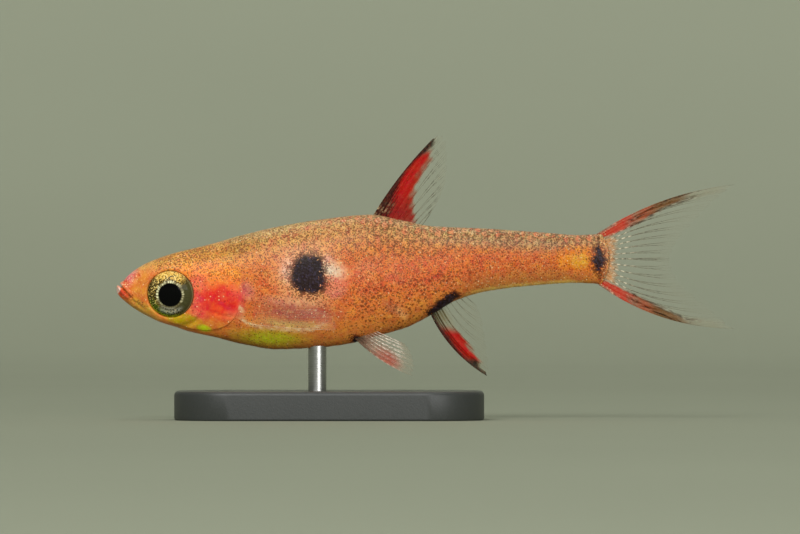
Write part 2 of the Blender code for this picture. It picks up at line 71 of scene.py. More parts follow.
HALF_WIDTH = [
    (0.0, 0.08), (0.05, 0.2), (0.17, 0.34), (0.4, 0.49), (0.75, 0.64), (1.3, 0.83), (2.2, 1.04),
    (3.5, 1.21), (5.0, 1.32), (6.8, 1.36), (8.5, 1.3), (10.5, 1.13), (12.5, 0.89), (14.5, 0.69),
    (17.0, 0.53), (19.0, 0.42), (20.6, 0.27),
]
TOP_FULLNESS = [(0.0, 0.0), (1.0, 0.1), (2.2, 0.12), (5.0, 0.1), (12.0, 0.06), (20.6, 0.0)]
SECTION_POWER = [(0.0, 0.9), (1.0, 0.8), (2.2, 0.66), (4.0, 0.76), (6.0, 0.88), (20.6, 0.88)]
STALK_CENTRE = (18.66, 1.245)
STALK_RADIUS = 1.75
STALK_EDGE_HALF = 0.07

# Head

EYE_CENTRE = (2.24, 0.92, -0.21)
EYE_FACING = (-0.15, 1.0, -0.13)
EYE_RADIUS = 0.965
PUPIL_RADIUS = 0.475
PUPIL_SHIFT = 0.035
EYE_PROFILE = [
    (0.0, 0.345), (0.2, 0.338), (0.36, 0.318), (0.47, 0.298), (0.55, 0.272), (0.68, 0.225), (0.8, 0.168),
    (0.89, 0.1), (0.945, 0.03), (EYE_RADIUS, -0.06), (0.95, -0.2), (0.7, -0.3),
]
EYE_RINGS = 64
EYE_SEGMENTS = 128
SOCKET_RADIUS = 1.0
SOCKET_REACH = 1.5
SOCKET_DEPTH = 0.4
MOUTH_LINE = [(-0.1, 0.42), (0.15, 0.13), (0.42, -0.17), (0.64, -0.42)]
CHEEKBONE = [(0.62, -0.42), (0.72, -0.56), (0.74, -0.7)]
CHEEK_GROOVE = [(3.35, 0.62), (3.62, 0.1), (3.7, -0.5), (3.55, -1.05), (3.1, -1.42), (2.5, -1.5)]
GILL_COVER_GROOVE = [(3.9, -0.92), (4.45, -1.12), (4.95, -1.1)]
JAW_GROOVE = [(0.7, -0.48), (0.98, -0.7), (1.3, -0.9), (1.62, -1.1)]
HEAD_GROOVES = [
    # path, depth, width
    (CHEEKBONE, 0.04, 0.05),
    (CHEEK_GROOVE, 0.025, 0.09),
    (GILL_COVER_GROOVE, 0.018, 0.06),
    (JAW_GROOVE, 0.035, 0.05),
]
GILL_OPENING = [
    (4.15, 1.2), (4.72, 0.98), (5.12, 0.5), (5.26, -0.04), (5.2, -0.55), (4.98, -1.1), (4.6, -1.5),
    (4.0, -1.7), (3.2, -1.66), (2.4, -1.42), (1.7, -1.17),
]
NOSTRIL = (0.84, 0.56)
NOSTRIL_HOLES = [
    # shift along the body, radius
    (-0.09, 0.055),
    (0.075, 0.07),
]

# Skin and scales

SNOUT_END, SNOUT_STEP = 0.36, 0.015
HEAD_END, HEAD_STEP = 5.7, 0.032
REAR_RINGS = 176
SKIN_AROUND = 256
FIRST_SCALE_S = 4.75
LAST_SCALE_S = 20.45
SCALE_PITCH = [(4.0, 0.54), (8.0, 0.56), (14.0, 0.55), (20.6, 0.46)]
ROW_PITCH = [(4.0, 0.5), (8.0, 0.55), (12.0, 0.54), (16.0, 0.45), (20.6, 0.42)]
SCALE_ROWS_EACH_WAY = 9
SCALE_ACROSS = 9
SCALE_ALONG = 6
GIRTH_STEPS = 181
PATH_STEPS = 48

# Markings of the body, in the usual 0 to 255 screen values

BODY_PATCHES = [
    # centre, radii, turn, softness, colour, strength
    ((3.9, 0.9), (1.7, 0.95), 12, 0.5, (255, 150, 50), 0.85),
    ((2.9, 1.45), (1.6, 0.45), 15, 0.5, (214, 156, 66), 0.8),
    ((4.6, 1.6), (1.3, 0.4), 14, 0.5, (190, 136, 56), 0.75),
    # Pink patch on the upper lip: painted highlight.
    ((0.55, 0.5), (0.42, 0.3), 40, 0.5, (226, 112, 122), 0.9),
    ((0.36, 0.24), (0.16, 0.12), 40, 0.5, (214, 60, 26), 0.8),
    ((1.1, 0.05), (0.45, 0.7), 0, 0.5, (222, 140, 50), 0.85),
    ((0.27, -0.22), (0.26, 0.14), -42, 0.4, (204, 34, 12), 1.0),
    ((0.05, -0.05), (0.09, 0.16), -30, 0.4, (250, 214, 200), 0.95),
    ((0.12, 0.14), (0.14, 0.05), 35, 0.5, (240, 170, 160), 0.9),
    ((4.75, -0.55), (0.5, 0.6), 0, 0.5, (232, 128, 124), 0.5),
    ((5.4, -0.1), (0.28, 0.36), 0, 0.6, (206, 112, 150), 0.35),
    ((1.1, -0.85), (0.75, 0.26), -35, 0.5, (184, 140, 48), 0.85),
    ((3.4, 0.05), (0.4, 0.6), 0, 0.5, (250, 100, 84), 0.8),
    ((3.5, -0.75), (0.4, 0.45), -20, 0.6, (226, 66, 84), 0.8),
    ((2.8, -1.28), (0.8, 0.27), -14, 0.4, (170, 148, 0), 0.95),
    ((4.2, -1.75), (1.1, 0.35), -10, 0.5, (206, 120, 44), 0.8),
    ((3.62, -1.62), (0.3, 0.13), -12, 0.4, (172, 186, 8), 1.0),
    ((6.35, -2.02), (1.18, 0.32), -3, 0.7, (168, 166, 18), 0.95),
    ((7.1, -1.42), (1.1, 0.17), -5, 0.6, (206, 172, 92), 0.75),
    ((7.5, -0.92), (1.5, 0.42), -4, 0.6, (166, 76, 66), 0.88),
    ((7.2, -0.5), (1.2, 0.2), -4, 0.7, (240, 158, 128), 0.5),
    ((7.95, 0.6), (1.35, 1.2), 0, 0.4, (255, 184, 126), 0.75),
    ((8.95, 0.72), (0.48, 0.3), -20, 0.8, (255, 244, 208), 1.0),
    ((8.78, 1.1), (0.2, 0.3), 20, 0.6, (255, 190, 170), 0.6),
    ((8.75, 0.5), (0.3, 0.06), -14, 0.8, (255, 150, 110), 0.55),
    ((9.25, 0.92), (0.3, 0.06), -30, 0.8, (255, 150, 100), 0.5),
    ((7.1, 0.75), (0.3, 0.5), 0, 0.5, (255, 196, 170), 0.6),
    ((9.08, 0.06), (0.42, 0.4), -10, 0.5, (255, 142, 126), 0.75),
    ((10.3, 0.7), (0.5, 0.4), 0, 0.6, (255, 168, 110), 0.5),
    ((11.5, 0.5), (0.35, 0.28), 0, 0.6, (255, 150, 100), 0.6),
    ((11.6, 0.55), (3.6, 0.6), 5, 0.6, (244, 100, 50), 0.6),
    ((15.6, 1.0), (2.8, 0.5), 4, 0.6, (240, 108, 44), 0.6),
    ((16.2, 2.15), (4.4, 0.45), -4, 0.7, (190, 158, 108), 0.7),
    ((16.5, 0.45), (2.6, 0.3), 4, 0.7, (176, 104, 52), 0.5),
    ((11.75, -0.95), (0.34, 0.11), -55, 0.6, (255, 176, 110), 0.6),
    ((11.3, -0.75), (0.34, 0.14), -50, 0.6, (150, 66, 56), 0.6),
    ((19.1, 1.28), (0.95, 0.5), 0, 0.5, (255, 132, 0), 0.95),
    ((19.15, 1.15), (0.35, 0.3), 0, 0.6, (255, 176, 30), 0.9),
    # Paler patch at the stalk's round end: partly its own orange-brown, partly painted light lifting the
    # shade on the rounded rim.
    ((20.5, 1.25), (0.34, 0.9), 0, 0.7, (240, 176, 116), 0.8),
]
DARK_SPOTS = [
    # centre, radii, turn, softness, density
    ((8.0, 0.57), (0.74, 0.77), 0, 0.64, 1.15),
    ((10.07, -2.16), (0.42, 0.19), -20, 0.5, 1.0),
    ((2.6, 1.4), (1.2, 0.3), 14, 0.6, 0.12),
    ((19.1, 1.25), (0.75, 0.45), 0, 0.6, -0.16),
    ((4.3, -0.55), (1.1, 0.8), 0, 0.4, -0.36),
    ((1.0, 0.2), (0.8, 0.7), 0, 0.5, -0.2),
    ((2.8, -1.4), (1.6, 0.4), -10, 0.5, -0.3),
    ((7.5, -1.0), (1.7, 0.5), -4, 0.5, -0.2),
    ((8.98, 0.65), (0.6, 0.5), -10, 0.6, -0.3),
    ((1.0, -0.55), (0.16, 0.1), -30, 0.6, 0.3),
    ((0.62, -0.25), (0.1, 0.05), -50, 0.5, 0.6),
    ((0.4, 0.42), (0.08, 0.2), 40, 0.6, 0.3),
    ((11.6, -0.82), (0.12, 0.36), 35, 0.6, 0.22),
]
GLEAMS = [
    # centre, radii, turn, softness, strength
    ((4.3, -0.3), (0.6, 0.5), 0, 0.5, 0.1),
    # Strong bright specks on the upper lip: painted highlight.
    ((0.5, 0.5), (0.4, 0.3), 40, 0.5, 1.2),
    ((8.98, 0.68), (0.55, 0.4), 0, 0.6, 1.3),
    ((8.0, -1.0), (1.0, 0.3), -4, 0.5, 0.3),
    ((8.45, -1.05), (0.3, 0.25), 30, 0.5, 0.7),
    ((15.5, 0.2), (3.5, 0.2), 4, 0.5, 0.4),
    ((20.3, 1.25), (0.4, 0.9), 0, 0.5, 0.9),
]
TAIL_SPOT = (19.94, 1.16)
TAIL_SPOT_HALF = (0.3, 0.7)
ANAL_MARK = [(13.02, -0.97), (13.5, -0.64), (13.96, -0.3)]
CHEEK_CENTRE = (4.33, -0.5)
CHEEK_RADII = (0.95, 0.68)
BELLY_LINE = [
    (5.12, -0.75), (5.22, -1.2), (5.55, -1.47), (6.0, -1.6), (6.96, -1.67), (7.58, -1.72), (8.07, -1.66),
    (8.5, -1.5), (8.95, -1.25),
]
BELLY_LINE_BEADS = 20

# Fins

DORSAL_ROOT = [(10.48, 2.75), (11.5, 2.5), (12.42, 2.3)]
DORSAL_MARGIN = [
    (13.13, 6.24), (13.42, 6.42), (13.66, 6.1), (13.7, 5.3), (13.62, 4.4), (13.3, 3.6), (12.98, 3.1),
]
ANAL_ROOT = [(12.85, -0.65), (13.6, -0.4), (14.2, -0.1)]
ANAL_MARGIN = [(15.34, -3.6), (15.42, -3.2), (15.34, -2.5), (15.22, -1.8), (15.1, -1.15), (14.9, -0.68)]
UPPER_LOBE_ROOT = [(19.9, 2.26), (20.25, 1.9), (20.3, 1.25)]
UPPER_LOBE_MARGIN = [(25.6, 4.32), (24.85, 3.72), (23.9, 2.75), (23.2, 1.95), (22.9, 1.22)]
LOWER_LOBE_ROOT = [(20.3, 1.25), (20.25, 0.6), (19.9, 0.24)]
LOWER_LOBE_MARGIN = [(22.9, 1.22), (23.15, 0.5), (23.9, -0.25), (24.75, -0.95), (25.58, -1.64)]
PELVIC_ROOT = [(9.55, 0.34, -1.7), (9.95, 0.36, -1.65), (10.38, 0.38, -1.6)]
PELVIC_MARGIN = [
    (12.26, 0.95, -3.6), (12.32, 0.93, -3.25), (12.28, 0.88, -2.9), (12.16, 0.8, -2.55),
    (11.95, 0.72, -2.3),
]
PECTORAL_ROOT = [(5.3, 0.8, -1.42), (5.32, 0.8, -1.22), (5.3, 0.8, -0.98)]
PECTORAL_MARGIN = [
    (9.12, 1.95, -1.7), (9.16, 1.97, -1.52), (9.1, 2.0, -1.3), (8.85, 2.0, -1.02), (8.35, 1.95, -0.82),
]
DORSAL_RAYS = 10
ANAL_RAYS = 8
UPPER_LOBE_RAYS = 10
LOWER_LOBE_RAYS = 9
PELVIC_RAYS = 8
PECTORAL_RAYS = 9
MEMBRANE_HALF = 0.014
WEB_NOTCH = 0.03
WEB_FRAY = 0.012
COLUMNS_TO_A_RAY = 6
RAY_SIDES = 6
RAY_JOINT = 0.13
FRAY_WAVE = 12.566

# Lines that the fins' colours follow

DORSAL_LEADING = [
    (10.3, 2.8), (10.56, 3.15), (10.98, 3.73), (11.35, 4.27), (11.8, 4.93), (12.22, 5.42), (12.55, 5.8),
    (12.88, 6.04), (13.09, 6.21),
]
DORSAL_RED_REAR = [
    (12.3, 2.4), (12.35, 2.69), (12.26, 3.19), (12.22, 3.69), (12.38, 4.3), (12.63, 4.84), (12.97, 5.34),
    (13.0, 5.76), (13.1, 6.2),
]
ANAL_LEADING = [
    (12.7, -0.7), (13.0, -1.16), (13.38, -1.78), (13.79, -2.32), (14.2, -2.82), (14.6, -3.23),
    (15.03, -3.48), (15.28, -3.6),
]
CAUDAL_UPPER = [(19.9, 2.35), (20.5, 2.53), (21.53, 3.02), (22.69, 3.68), (23.7, 4.06), (25.3, 4.39)]
CAUDAL_LOWER = [(19.9, 0.15), (20.4, -0.04), (22.07, -0.87), (23.6, -1.57), (25.05, -1.72), (25.5, -1.72)]

# Stand

BASE_SIZE = (12.8, 7.2, 1.2)
BASE_CENTRE_S = 8.8
BASE_CORNER = 2.4
BASE_CORNER_SEGMENTS = 14
BASE_BEVELS = [
    # 1 for the top or -1 for the foot, width, segments
    (1, 0.16, 4),
    (-1, 0.1, 2),
]
ROD_RADIUS = 0.38
ROD_S = 8.3
ROD_SINK = 0.02
ROD_TOP = -2.36
SMOOTH_ANGLE = math.radians(35)

# Studio: the camera's X and Z, its frame and its sensor in millimetres, the rest in metres

CAMERA_X = -1.076
CAMERA_Z = 6.325
CAMERA_DISTANCE = 0.4
FRAME_WIDTH = 33.126
SENSOR_WIDTH = 36.0
FLOOR_SIZE = 1.6
FLOOR_FLAT_TO = 0.25
FLOOR_CURVE_RUN = 0.55
FLOOR_CURVE_HEIGHT = 0.5
STUDIO_LIGHTS = [
    # name, place, turn in degrees, size, power
    ("key_light", (-0.2, -0.72, 0.5), (55, 0, -15), (0.5, 0.4), 5.4),
    ("fill_light", (0.3, -0.75, 0.06), (86, 0, 22), (0.5, 0.3), 2.9),
    ("top_light", (0.0, 0.05, 0.7), (0, 0, 0), (0.5, 0.5), 1.4),
    ("rim_light", (0.05, 0.5, 0.45), (-48, 0, 180), (0.4, 0.2), 1.6),
]


# Shared sums


def tone(red, green, blue):
    """Linear colour of the usual 0 to 255 screen values."""
    parts = np.array((red, green, blue)) / 255
    linear = np.where(parts <= 0.04045, parts / 12.92, ((parts + 0.055) / 1.055) ** 2.4)
    return tuple(float(part) for part in linear)


def place(points):
    """Row-frame points in metres for body points (s, y, z) in millimetres."""
    moved = np.array(points, float)
    moved[..., 0] -= TOTAL_LENGTH / 2
    moved[..., 2] += AXIS_HEIGHT
    return moved * MM


def profile(points, s):
    """Values at s of the smooth curve through (s, value) points, with no overshoot between them."""
    at, values = np.array(points, float).T
    s = np.clip(s, at[0], at[-1])
    slopes = np.diff(values) / np.diff(at)
    before, after = np.append(slopes[0], slopes), np.append(slopes, slopes[-1])
    turning = before * after <= 0
    tangents = np.where(turning, 0, 2 * before * after / np.where(turning, 1, before + after))
    i = np.clip(np.searchsorted(at, s, side="right") - 1, 0, len(at) - 2)
    step = at[i + 1] - at[i]
    t = (s - at[i]) / step
    return (
        (2 * t**3 - 3 * t**2 + 1) * values[i]
        + (t**3 - 2 * t**2 + t) * step * tangents[i]
        + (3 * t**2 - 2 * t**3) * values[i + 1]
        + (t**3 - t**2) * step * tangents[i + 1]
    )


def along(points, t):
    """Points at t, from 0 to 1, of the smooth path through the points."""
    points = np.array(points, float)
    padded = np.vstack((2 * points[0] - points[1], points, 2 * points[-1] - points[-2]))
    spans = len(points) - 1
    t = np.asarray(t, float) * spans
    i = np.clip(t.astype(int), 0, spans - 1)
    u = (t - i)[..., None]
    before, here, there, after = (padded[i + k] for k in range(4))
    return 0.5 * (
        2 * here
        + (there - before) * u
        + (2 * before - 5 * here + 4 * there - after) * u**2
        + (3 * here - before - 3 * there + after) * u**3
    )


def ease(low, high, value):
    """Smooth rise from 0 at low to 1 at high, or a fall where low is the larger."""
    t = np.clip((value - low) / (high - low), 0, 1)
    return t * t * (3 - 2 * t)


def hump(distance, width):
    """Round ridge profile, 1 on its line and nearly 0 at twice the width."""
    return np.exp(-((distance / width) ** 2))


def unit(vectors):
    """Vectors scaled to a length of 1."""
    return vectors / np.maximum(np.linalg.norm(vectors, axis=-1, keepdims=True), 1e-9)


def mixed(colour, share, shade):
    """Colour with a shade laid over it by share."""
    return colour + share[..., None] * (np.array(shade)[..., :3] - colour)


def ripple(s, z, size, seed):
    """Cheap smooth noise from -1 to 1 over the side view, with waves of about the given size."""
    total = 0.0
    for k in range(4):
        turn = seed * 1.7 + k * 2.399
        wave = 2 * math.pi / size * (0.7 + 0.22 * k)
        total = total + np.sin(wave * (s * math.cos(turn) + z * math.sin(turn)) + seed * 5.1 + k * 1.3)
    return total / 4


def path_distance(s, z, points):
    """Distance in side view to a path of (s, z), its sign by side, and the place along it from 0 to 1."""
    line = along(points, np.linspace(0, 1, PATH_STEPS + 1))
    best = np.full(np.shape(s), 1e9)
    side = np.ones(np.shape(s))
    spot = np.zeros(np.shape(s))
    for k, (a, b) in enumerate(zip(line, line[1:])):
        run = b - a
        t = np.clip(((s - a[0]) * run[0] + (z - a[1]) * run[1]) / (run @ run), 0, 1)
        ds, dz = s - a[0] - t * run[0], z - a[1] - t * run[1]
        gap = np.hypot(ds, dz)
        nearer = gap < best
        best = np.where(nearer, gap, best)
        side = np.where(nearer, np.sign(run[0] * dz - run[1] * ds), side)
        spot = np.where(nearer, (k + t) / PATH_STEPS, spot)
    return best, side, spot


def spot_at(s, z, centre, radii, turn, soft):
    """Soft-edged oval in side view: 1 inside and 0 outside."""
    ds, dz = s - centre[0], z - centre[1]
    c, n = math.cos(math.radians(turn)), math.sin(math.radians(turn))
    reach = np.hypot((ds * c + dz * n) / radii[0], (dz * c - ds * n) / radii[1])
    return ease(1 + soft, 1 - soft, reach)


def colours():
    """Colour settings of the scene."""
    return bpy.context.scene.rasbora_colours


# Mesh building


def grid_faces(rows, columns, first=0, closed=False):
    """Quads of a grid of points stored row by row, with the last column joined to the first if closed."""
    i, j = np.meshgrid(np.arange(rows - 1), np.arange(columns if closed else columns - 1), indexing="ij")
    k = (j + 1) % columns
    here, there = i * columns, (i + 1) * columns
    quads = np.stack((here + j, here + k, there + k, there + j), axis=-1)
    return (quads.reshape(-1, 4) + first).tolist()


def tube_faces(rings, around, first=0):
    """Faces of closed rings of points stored ring by ring, with fans to the two end points after them."""
    front, last_ring = first + rings * around, first + (rings - 1) * around
    faces = grid_faces(rings, around, first, closed=True)
    faces += [(front, first + (j + 1) % around, first + j) for j in range(around)]
    faces += [(front + 1, last_ring + j, last_ring + (j + 1) % around) for j in range(around)]
    return faces


def grid_rim(rows, columns):
    """Numbers of the points round the edge of a grid, from the first row's start along that row."""
    rim = list(range(columns))
    rim += [i * columns + columns - 1 for i in range(1, rows)]
    rim += [(rows - 1) * columns + j for j in range(columns - 2, -1, -1)]
    return rim + [i * columns for i in range(rows - 2, 0, -1)]


def edges_of(rim):
    """Pairs of neighbours round a rim."""
    return list(zip(rim, rim[1:] + rim[:1]))


def make_object(name, points, faces, tint, fleck, material, uv=None):
    """Smooth mesh object from body points, with its colour, its flecks and its bake map."""
    mesh = bpy.data.meshes.new(name)
    mesh.from_pydata(place(points).tolist(), [], faces)
    for label, values in (("tint", tint), ("fleck", fleck)):
        layer = mesh.color_attributes.new(label, "FLOAT_COLOR", "POINT")
        layer.data.foreach_set("color", np.ascontiguousarray(values, np.float32).ravel())
    if uv is not None:
        corners = np.zeros(len(mesh.loops), int)
        mesh.loops.foreach_get("vertex_index", corners)
        layer = mesh.uv_layers.new(name="OFBake")
        layer.data.foreach_set("uv", np.ascontiguousarray(uv[corners], np.float32).ravel())
    mesh.polygons.foreach_set("use_smooth", np.ones(len(mesh.polygons), bool))
    mesh.materials.append(material)
    mesh.update()
    made = bpy.data.objects.new(name, mesh)
    bpy.context.scene.collection.objects.link(made)
    return made


def hand_over(piece, slot, *nodes):
    """Fixes a piece to the frame in the place of the solids that it stands for."""
    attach(piece, "root")
    if nodes:
        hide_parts(*nodes)
    return piece


# The body's surface


def skin_point(s, angle):
    """Body points at s and the angle round the section, from the right flank up to the back and on."""
    top, bottom = profile(BACK, s), profile(BELLY, s)
    power, fullness = profile(SECTION_POWER, s), profile(TOP_FULLNESS, s)
    cosine, sine = np.cos(angle), np.sin(angle)
    y = profile(HALF_WIDTH, s) * np.sign(cosine) * np.abs(cosine) ** power * (1 + fullness * sine)
    z = (top + bottom) / 2 + (top - bottom) / 2 * sine
    return np.stack(np.broadcast_arrays(s + 0 * angle, y, z), axis=-1)


def skin_normal(s, angle):
    """Outward directions of the body's surface."""
    ahead = skin_point(s + 0.03, angle) - skin_point(s - 0.03, angle)
    around = skin_point(s, angle + 0.03) - skin_point(s, angle - 0.03)
    return unit(np.cross(ahead, around)) * -1


def skin_relief(s, z):
    """Height in millimetres of the head's forms over the plain surface."""
    slit, side, run = path_distance(s, z, MOUTH_LINE)
    height = -0.13 * hump(slit, 0.03) * ease(1.0, 0.93, run)
    height += np.where(side > 0, 0.05, 0.065) * hump(slit - 0.1, 0.065) * ease(1.0, 0.7, run)
    for groove, depth, width in HEAD_GROOVES:
        distance, _, run = path_distance(s, z, groove)
        fold = hump(distance, width) - 0.5 * hump(distance - 2 * width, width)
        height -= depth * fold * ease(0, 0.15, run) * ease(1, 0.8, run)
    distance, side, run = path_distance(s, z, GILL_OPENING)
    signed = distance * side
    cover = 0.03 * np.exp(-np.abs(signed) / 0.3) * ease(0.02, -0.02, signed)
    cover -= 0.06 * np.exp(-np.abs(signed) / 0.2) * ease(-0.02, 0.02, signed)
    height += cover * ease(0, 0.1, run) * ease(1, 0.85, run)
    for shift, radius in NOSTRIL_HOLES:
        reach = np.hypot(s - NOSTRIL[0] - shift, z - NOSTRIL[1])
        height += 0.035 * hump(reach - radius * 1.3, radius * 0.7)
        height -= 0.12 * ease(radius * 1.15, radius * 0.5, reach)
    return height


def eye_frame(side):
    """Centre and the three directions of one eye: towards the tail, up and outwards."""
    centre = np.array(EYE_CENTRE) * (1, side, 1)
    out = unit(np.array(EYE_FACING) * (1, side, 1))
    up = unit(np.array((0, 0, 1.0)) - out * out[2])
    back = np.cross(out, up) * side
    return centre, back, up, out


def skin_grid():
    """Rings of points from the snout to the round end of the tail stalk, with the angle round the body."""
    stations = np.concatenate((
        np.arange(0.0, SNOUT_END, SNOUT_STEP),
        np.arange(SNOUT_END, HEAD_END, HEAD_STEP),
        np.linspace(HEAD_END, STALK_CENTRE[0] + STALK_RADIUS, REAR_RINGS),
    ))
    around = 2 * math.pi * (np.arange(SKIN_AROUND) + 0.5) / SKIN_AROUND
    return np.meshgrid(stations, around, indexing="ij")


def press_socket(points, side):
    """Skin points with a socket and its rim round one eye."""
    centre, back, up, out = eye_frame(side)
    offset = points - centre
    radius = np.hypot(offset @ back, offset @ up)
    near = (points[..., 1] * side > 0) & (radius < SOCKET_REACH + 0.1)
    level = np.where(radius > SOCKET_RADIUS, 0.02, 0.02 - SOCKET_DEPTH * ease(SOCKET_RADIUS, 0.86, radius))
    level += 0.02 * hump(radius - 1.05, 0.06)
    shift = np.where(near, (level - offset @ out) * ease(SOCKET_REACH, 1.02, radius), 0)
    return points + shift[..., None] * out


def shape_skin():
    """Station and angle of the skin's points, and the points themselves with the head's forms."""
    s, angle = skin_grid()
    points = skin_point(s, angle)
    beyond = np.clip((s - STALK_CENTRE[0]) / STALK_RADIUS, 0, 1)
    reach = np.sqrt(np.maximum(STALK_RADIUS**2 - (points[..., 2] - STALK_CENTRE[1]) ** 2, 0))
    points[..., 0] = np.where(s > STALK_CENTRE[0], STALK_CENTRE[0] + beyond * reach, s)
    points[..., 1] *= 1 - ease(0.1, 1.0, beyond) * (1 - STALK_EDGE_HALF / HALF_WIDTH[-1][1])
    down = np.gradient(points, axis=0)
    around = np.roll(points, -1, axis=1) - np.roll(points, 1, axis=1)
    points += unit(np.cross(around, down)) * skin_relief(points[..., 0], points[..., 2])[..., None]
    for side in (-1, 1):
        points = press_socket(points, side)
    return s, angle, points


# Markings, shared by the skin and the scales


def body_marks(s, z):
    """Colour with the share of small dots as its alpha, and the flecks, at each point of the body."""
    look = colours()
    top, bottom = profile(BACK, s), profile(BELLY, s)
    level = (2 * z - top - bottom) / np.maximum(top - bottom, 0.05)
    seam = ease(-0.86, -0.95, level) * ease(14.2, 15.0, s) * ease(19.6, 18.8, s)
    # Pale rim along the back: partly the back's own pale glints, partly a painted highlight along its top
    # edge.
    ridge = ease(0.86, 0.98, level) * (0.5 * ease(3.0, 4.6, s) + 0.5 * ease(9.0, 11.0, s))

    colour = mixed(np.array(look.flank), ease(0.3, 1.0, level), look.back)
    colour = mixed(colour, ease(-0.25, -0.95, level), look.belly)
    for centre, radii, turn, soft, patch, strength in BODY_PATCHES:
        uneven = np.clip(1 + 0.3 * ripple(s, z, 0.28, 21), 0, 1.15)
        share = spot_at(s, z, centre, radii, turn, soft) * uneven * strength
        colour = mixed(colour, np.clip(share, 0, 1), tone(*patch))
    streaks = ease(0.1, 0.8, ripple(2.4 * s, 0.7 * z, 0.55, 31)) * ease(0.1, 0.4, level)
    colour = mixed(colour, 0.8 * streaks * ease(4.8, 6.0, s) * ease(12.5, 10.5, s), look.core)
    cheek = spot_at(s, z, CHEEK_CENTRE, CHEEK_RADII, 0, 0.45) * (0.9 + 0.2 * ripple(s, z, 0.6, 3))
    colour = mixed(colour, np.clip(cheek, 0, 1), look.gill_red)
    # Pale rim along the back, partly a painted highlight.
    colour = mixed(colour, 0.55 * ridge, tone(232, 206, 150))

    mottle_and_painted_light = 1 + 0.07 * ripple(s, z, 0.9, 1) + 0.05 * ripple(s, z, 0.35, 2)
    # The lower body is lightened by up to 30%: painted light that offsets the shade on the underside.
    mottle_and_painted_light = mottle_and_painted_light * (1 + 0.3 * ease(-0.2, -0.9, level))
    mottle_and_painted_light = mottle_and_painted_light * (1 + (0.03 + 0.07 * ease(8.0, 9.5, s)) * ease(13.0, 10.0, s) * ease(4.5, 6.0, s))
    mottle_and_painted_light = mottle_and_painted_light * (1 - 0.1 * ease(13.5, 15.5, s))
    mottle_and_painted_light = mottle_and_painted_light * (1 + 0.1 * ease(0.3, 0.8, level) * ease(10.0, 12.0, s) * ease(16.5, 14.5, s))
    colour = np.clip(colour * mottle_and_painted_light[..., None], 0, 1)
    colour = mixed(colour, seam, tone(255, 190, 92))
    line, _, run = path_distance(s, z, BELLY_LINE)
    broken = 0.5 + 0.5 * np.sin(2 * math.pi * (BELLY_LINE_BEADS * run + 0.5 * ripple(s, z, 0.3, 24)))
    silver = ease(0.11, 0.02, line + 0.05 * ripple(s, z, 0.3, 23)) * (0.25 + 0.75 * broken)
    silver = silver * ease(1.0, 0.8, run)
    colour = mixed(colour, 0.75 * silver, tone(255, 224, 168))

    dark = 0.42 + 0.1 * ease(0.2, 0.95, level) - 0.2 * ease(-0.3, -0.85, level)
    dark = dark * ease(0.5, 5.0, s + 2.0) + 0.06 * ripple(s, z, 1.3, 4)
    fringe = 0.1 * ripple(s, z, 0.5, 11) + 0.08 * ripple(s, z, 0.22, 12)
    for centre, radii, turn, soft, density in DARK_SPOTS:
        ragged = (radii[0] * (1 + fringe), radii[1] * (1 + fringe))
        dark = dark + density * spot_at(s, z, centre, ragged, turn, soft)
    diamond = np.abs(s - TAIL_SPOT[0]) / TAIL_SPOT_HALF[0] + np.abs(z - TAIL_SPOT[1]) / TAIL_SPOT_HALF[1]
    dark = dark + ease(1.75, 0.3, diamond + 2.0 * fringe)
    anal, _, run = path_distance(s, z, ANAL_MARK)
    dark = dark + 0.95 * ease(0.38, 0.1, anal + 0.9 * fringe + 0.05 * ease(0.5, 0.0, run))
    dark = dark - 0.3 * seam - 0.25 * silver

    gleam = 0.05 + 0.2 * ease(0.6, 1.0, level) + 0.7 * ridge + 0.8 * seam + 0.7 * silver
    for centre, radii, turn, soft, strength in GLEAMS:
        gleam = gleam + strength * spot_at(s, z, centre, radii, turn, soft)
    grains = 1 - 0.8 * spot_at(s, z, CHEEK_CENTRE, CHEEK_RADII, 0, 0.5) - 0.5 * ease(-0.3, -0.8, level)
    coarse = ease(8.8, 10.2, s) * ease(15.8, 13.5, s) * ease(0.3, -0.3, level)
    net = (0.3 + 0.7 * ease(0.0, 0.6, level)) * (0.5 + 0.5 * ease(8.5, 11.5, s))
    flecks = (np.clip(dark, 0.04, 2.0), np.clip(gleam, 0, 1.4), net, np.clip(grains, 0, 1))
    return np.column_stack((colour, 1 - coarse)), np.column_stack(flecks)


# Materials


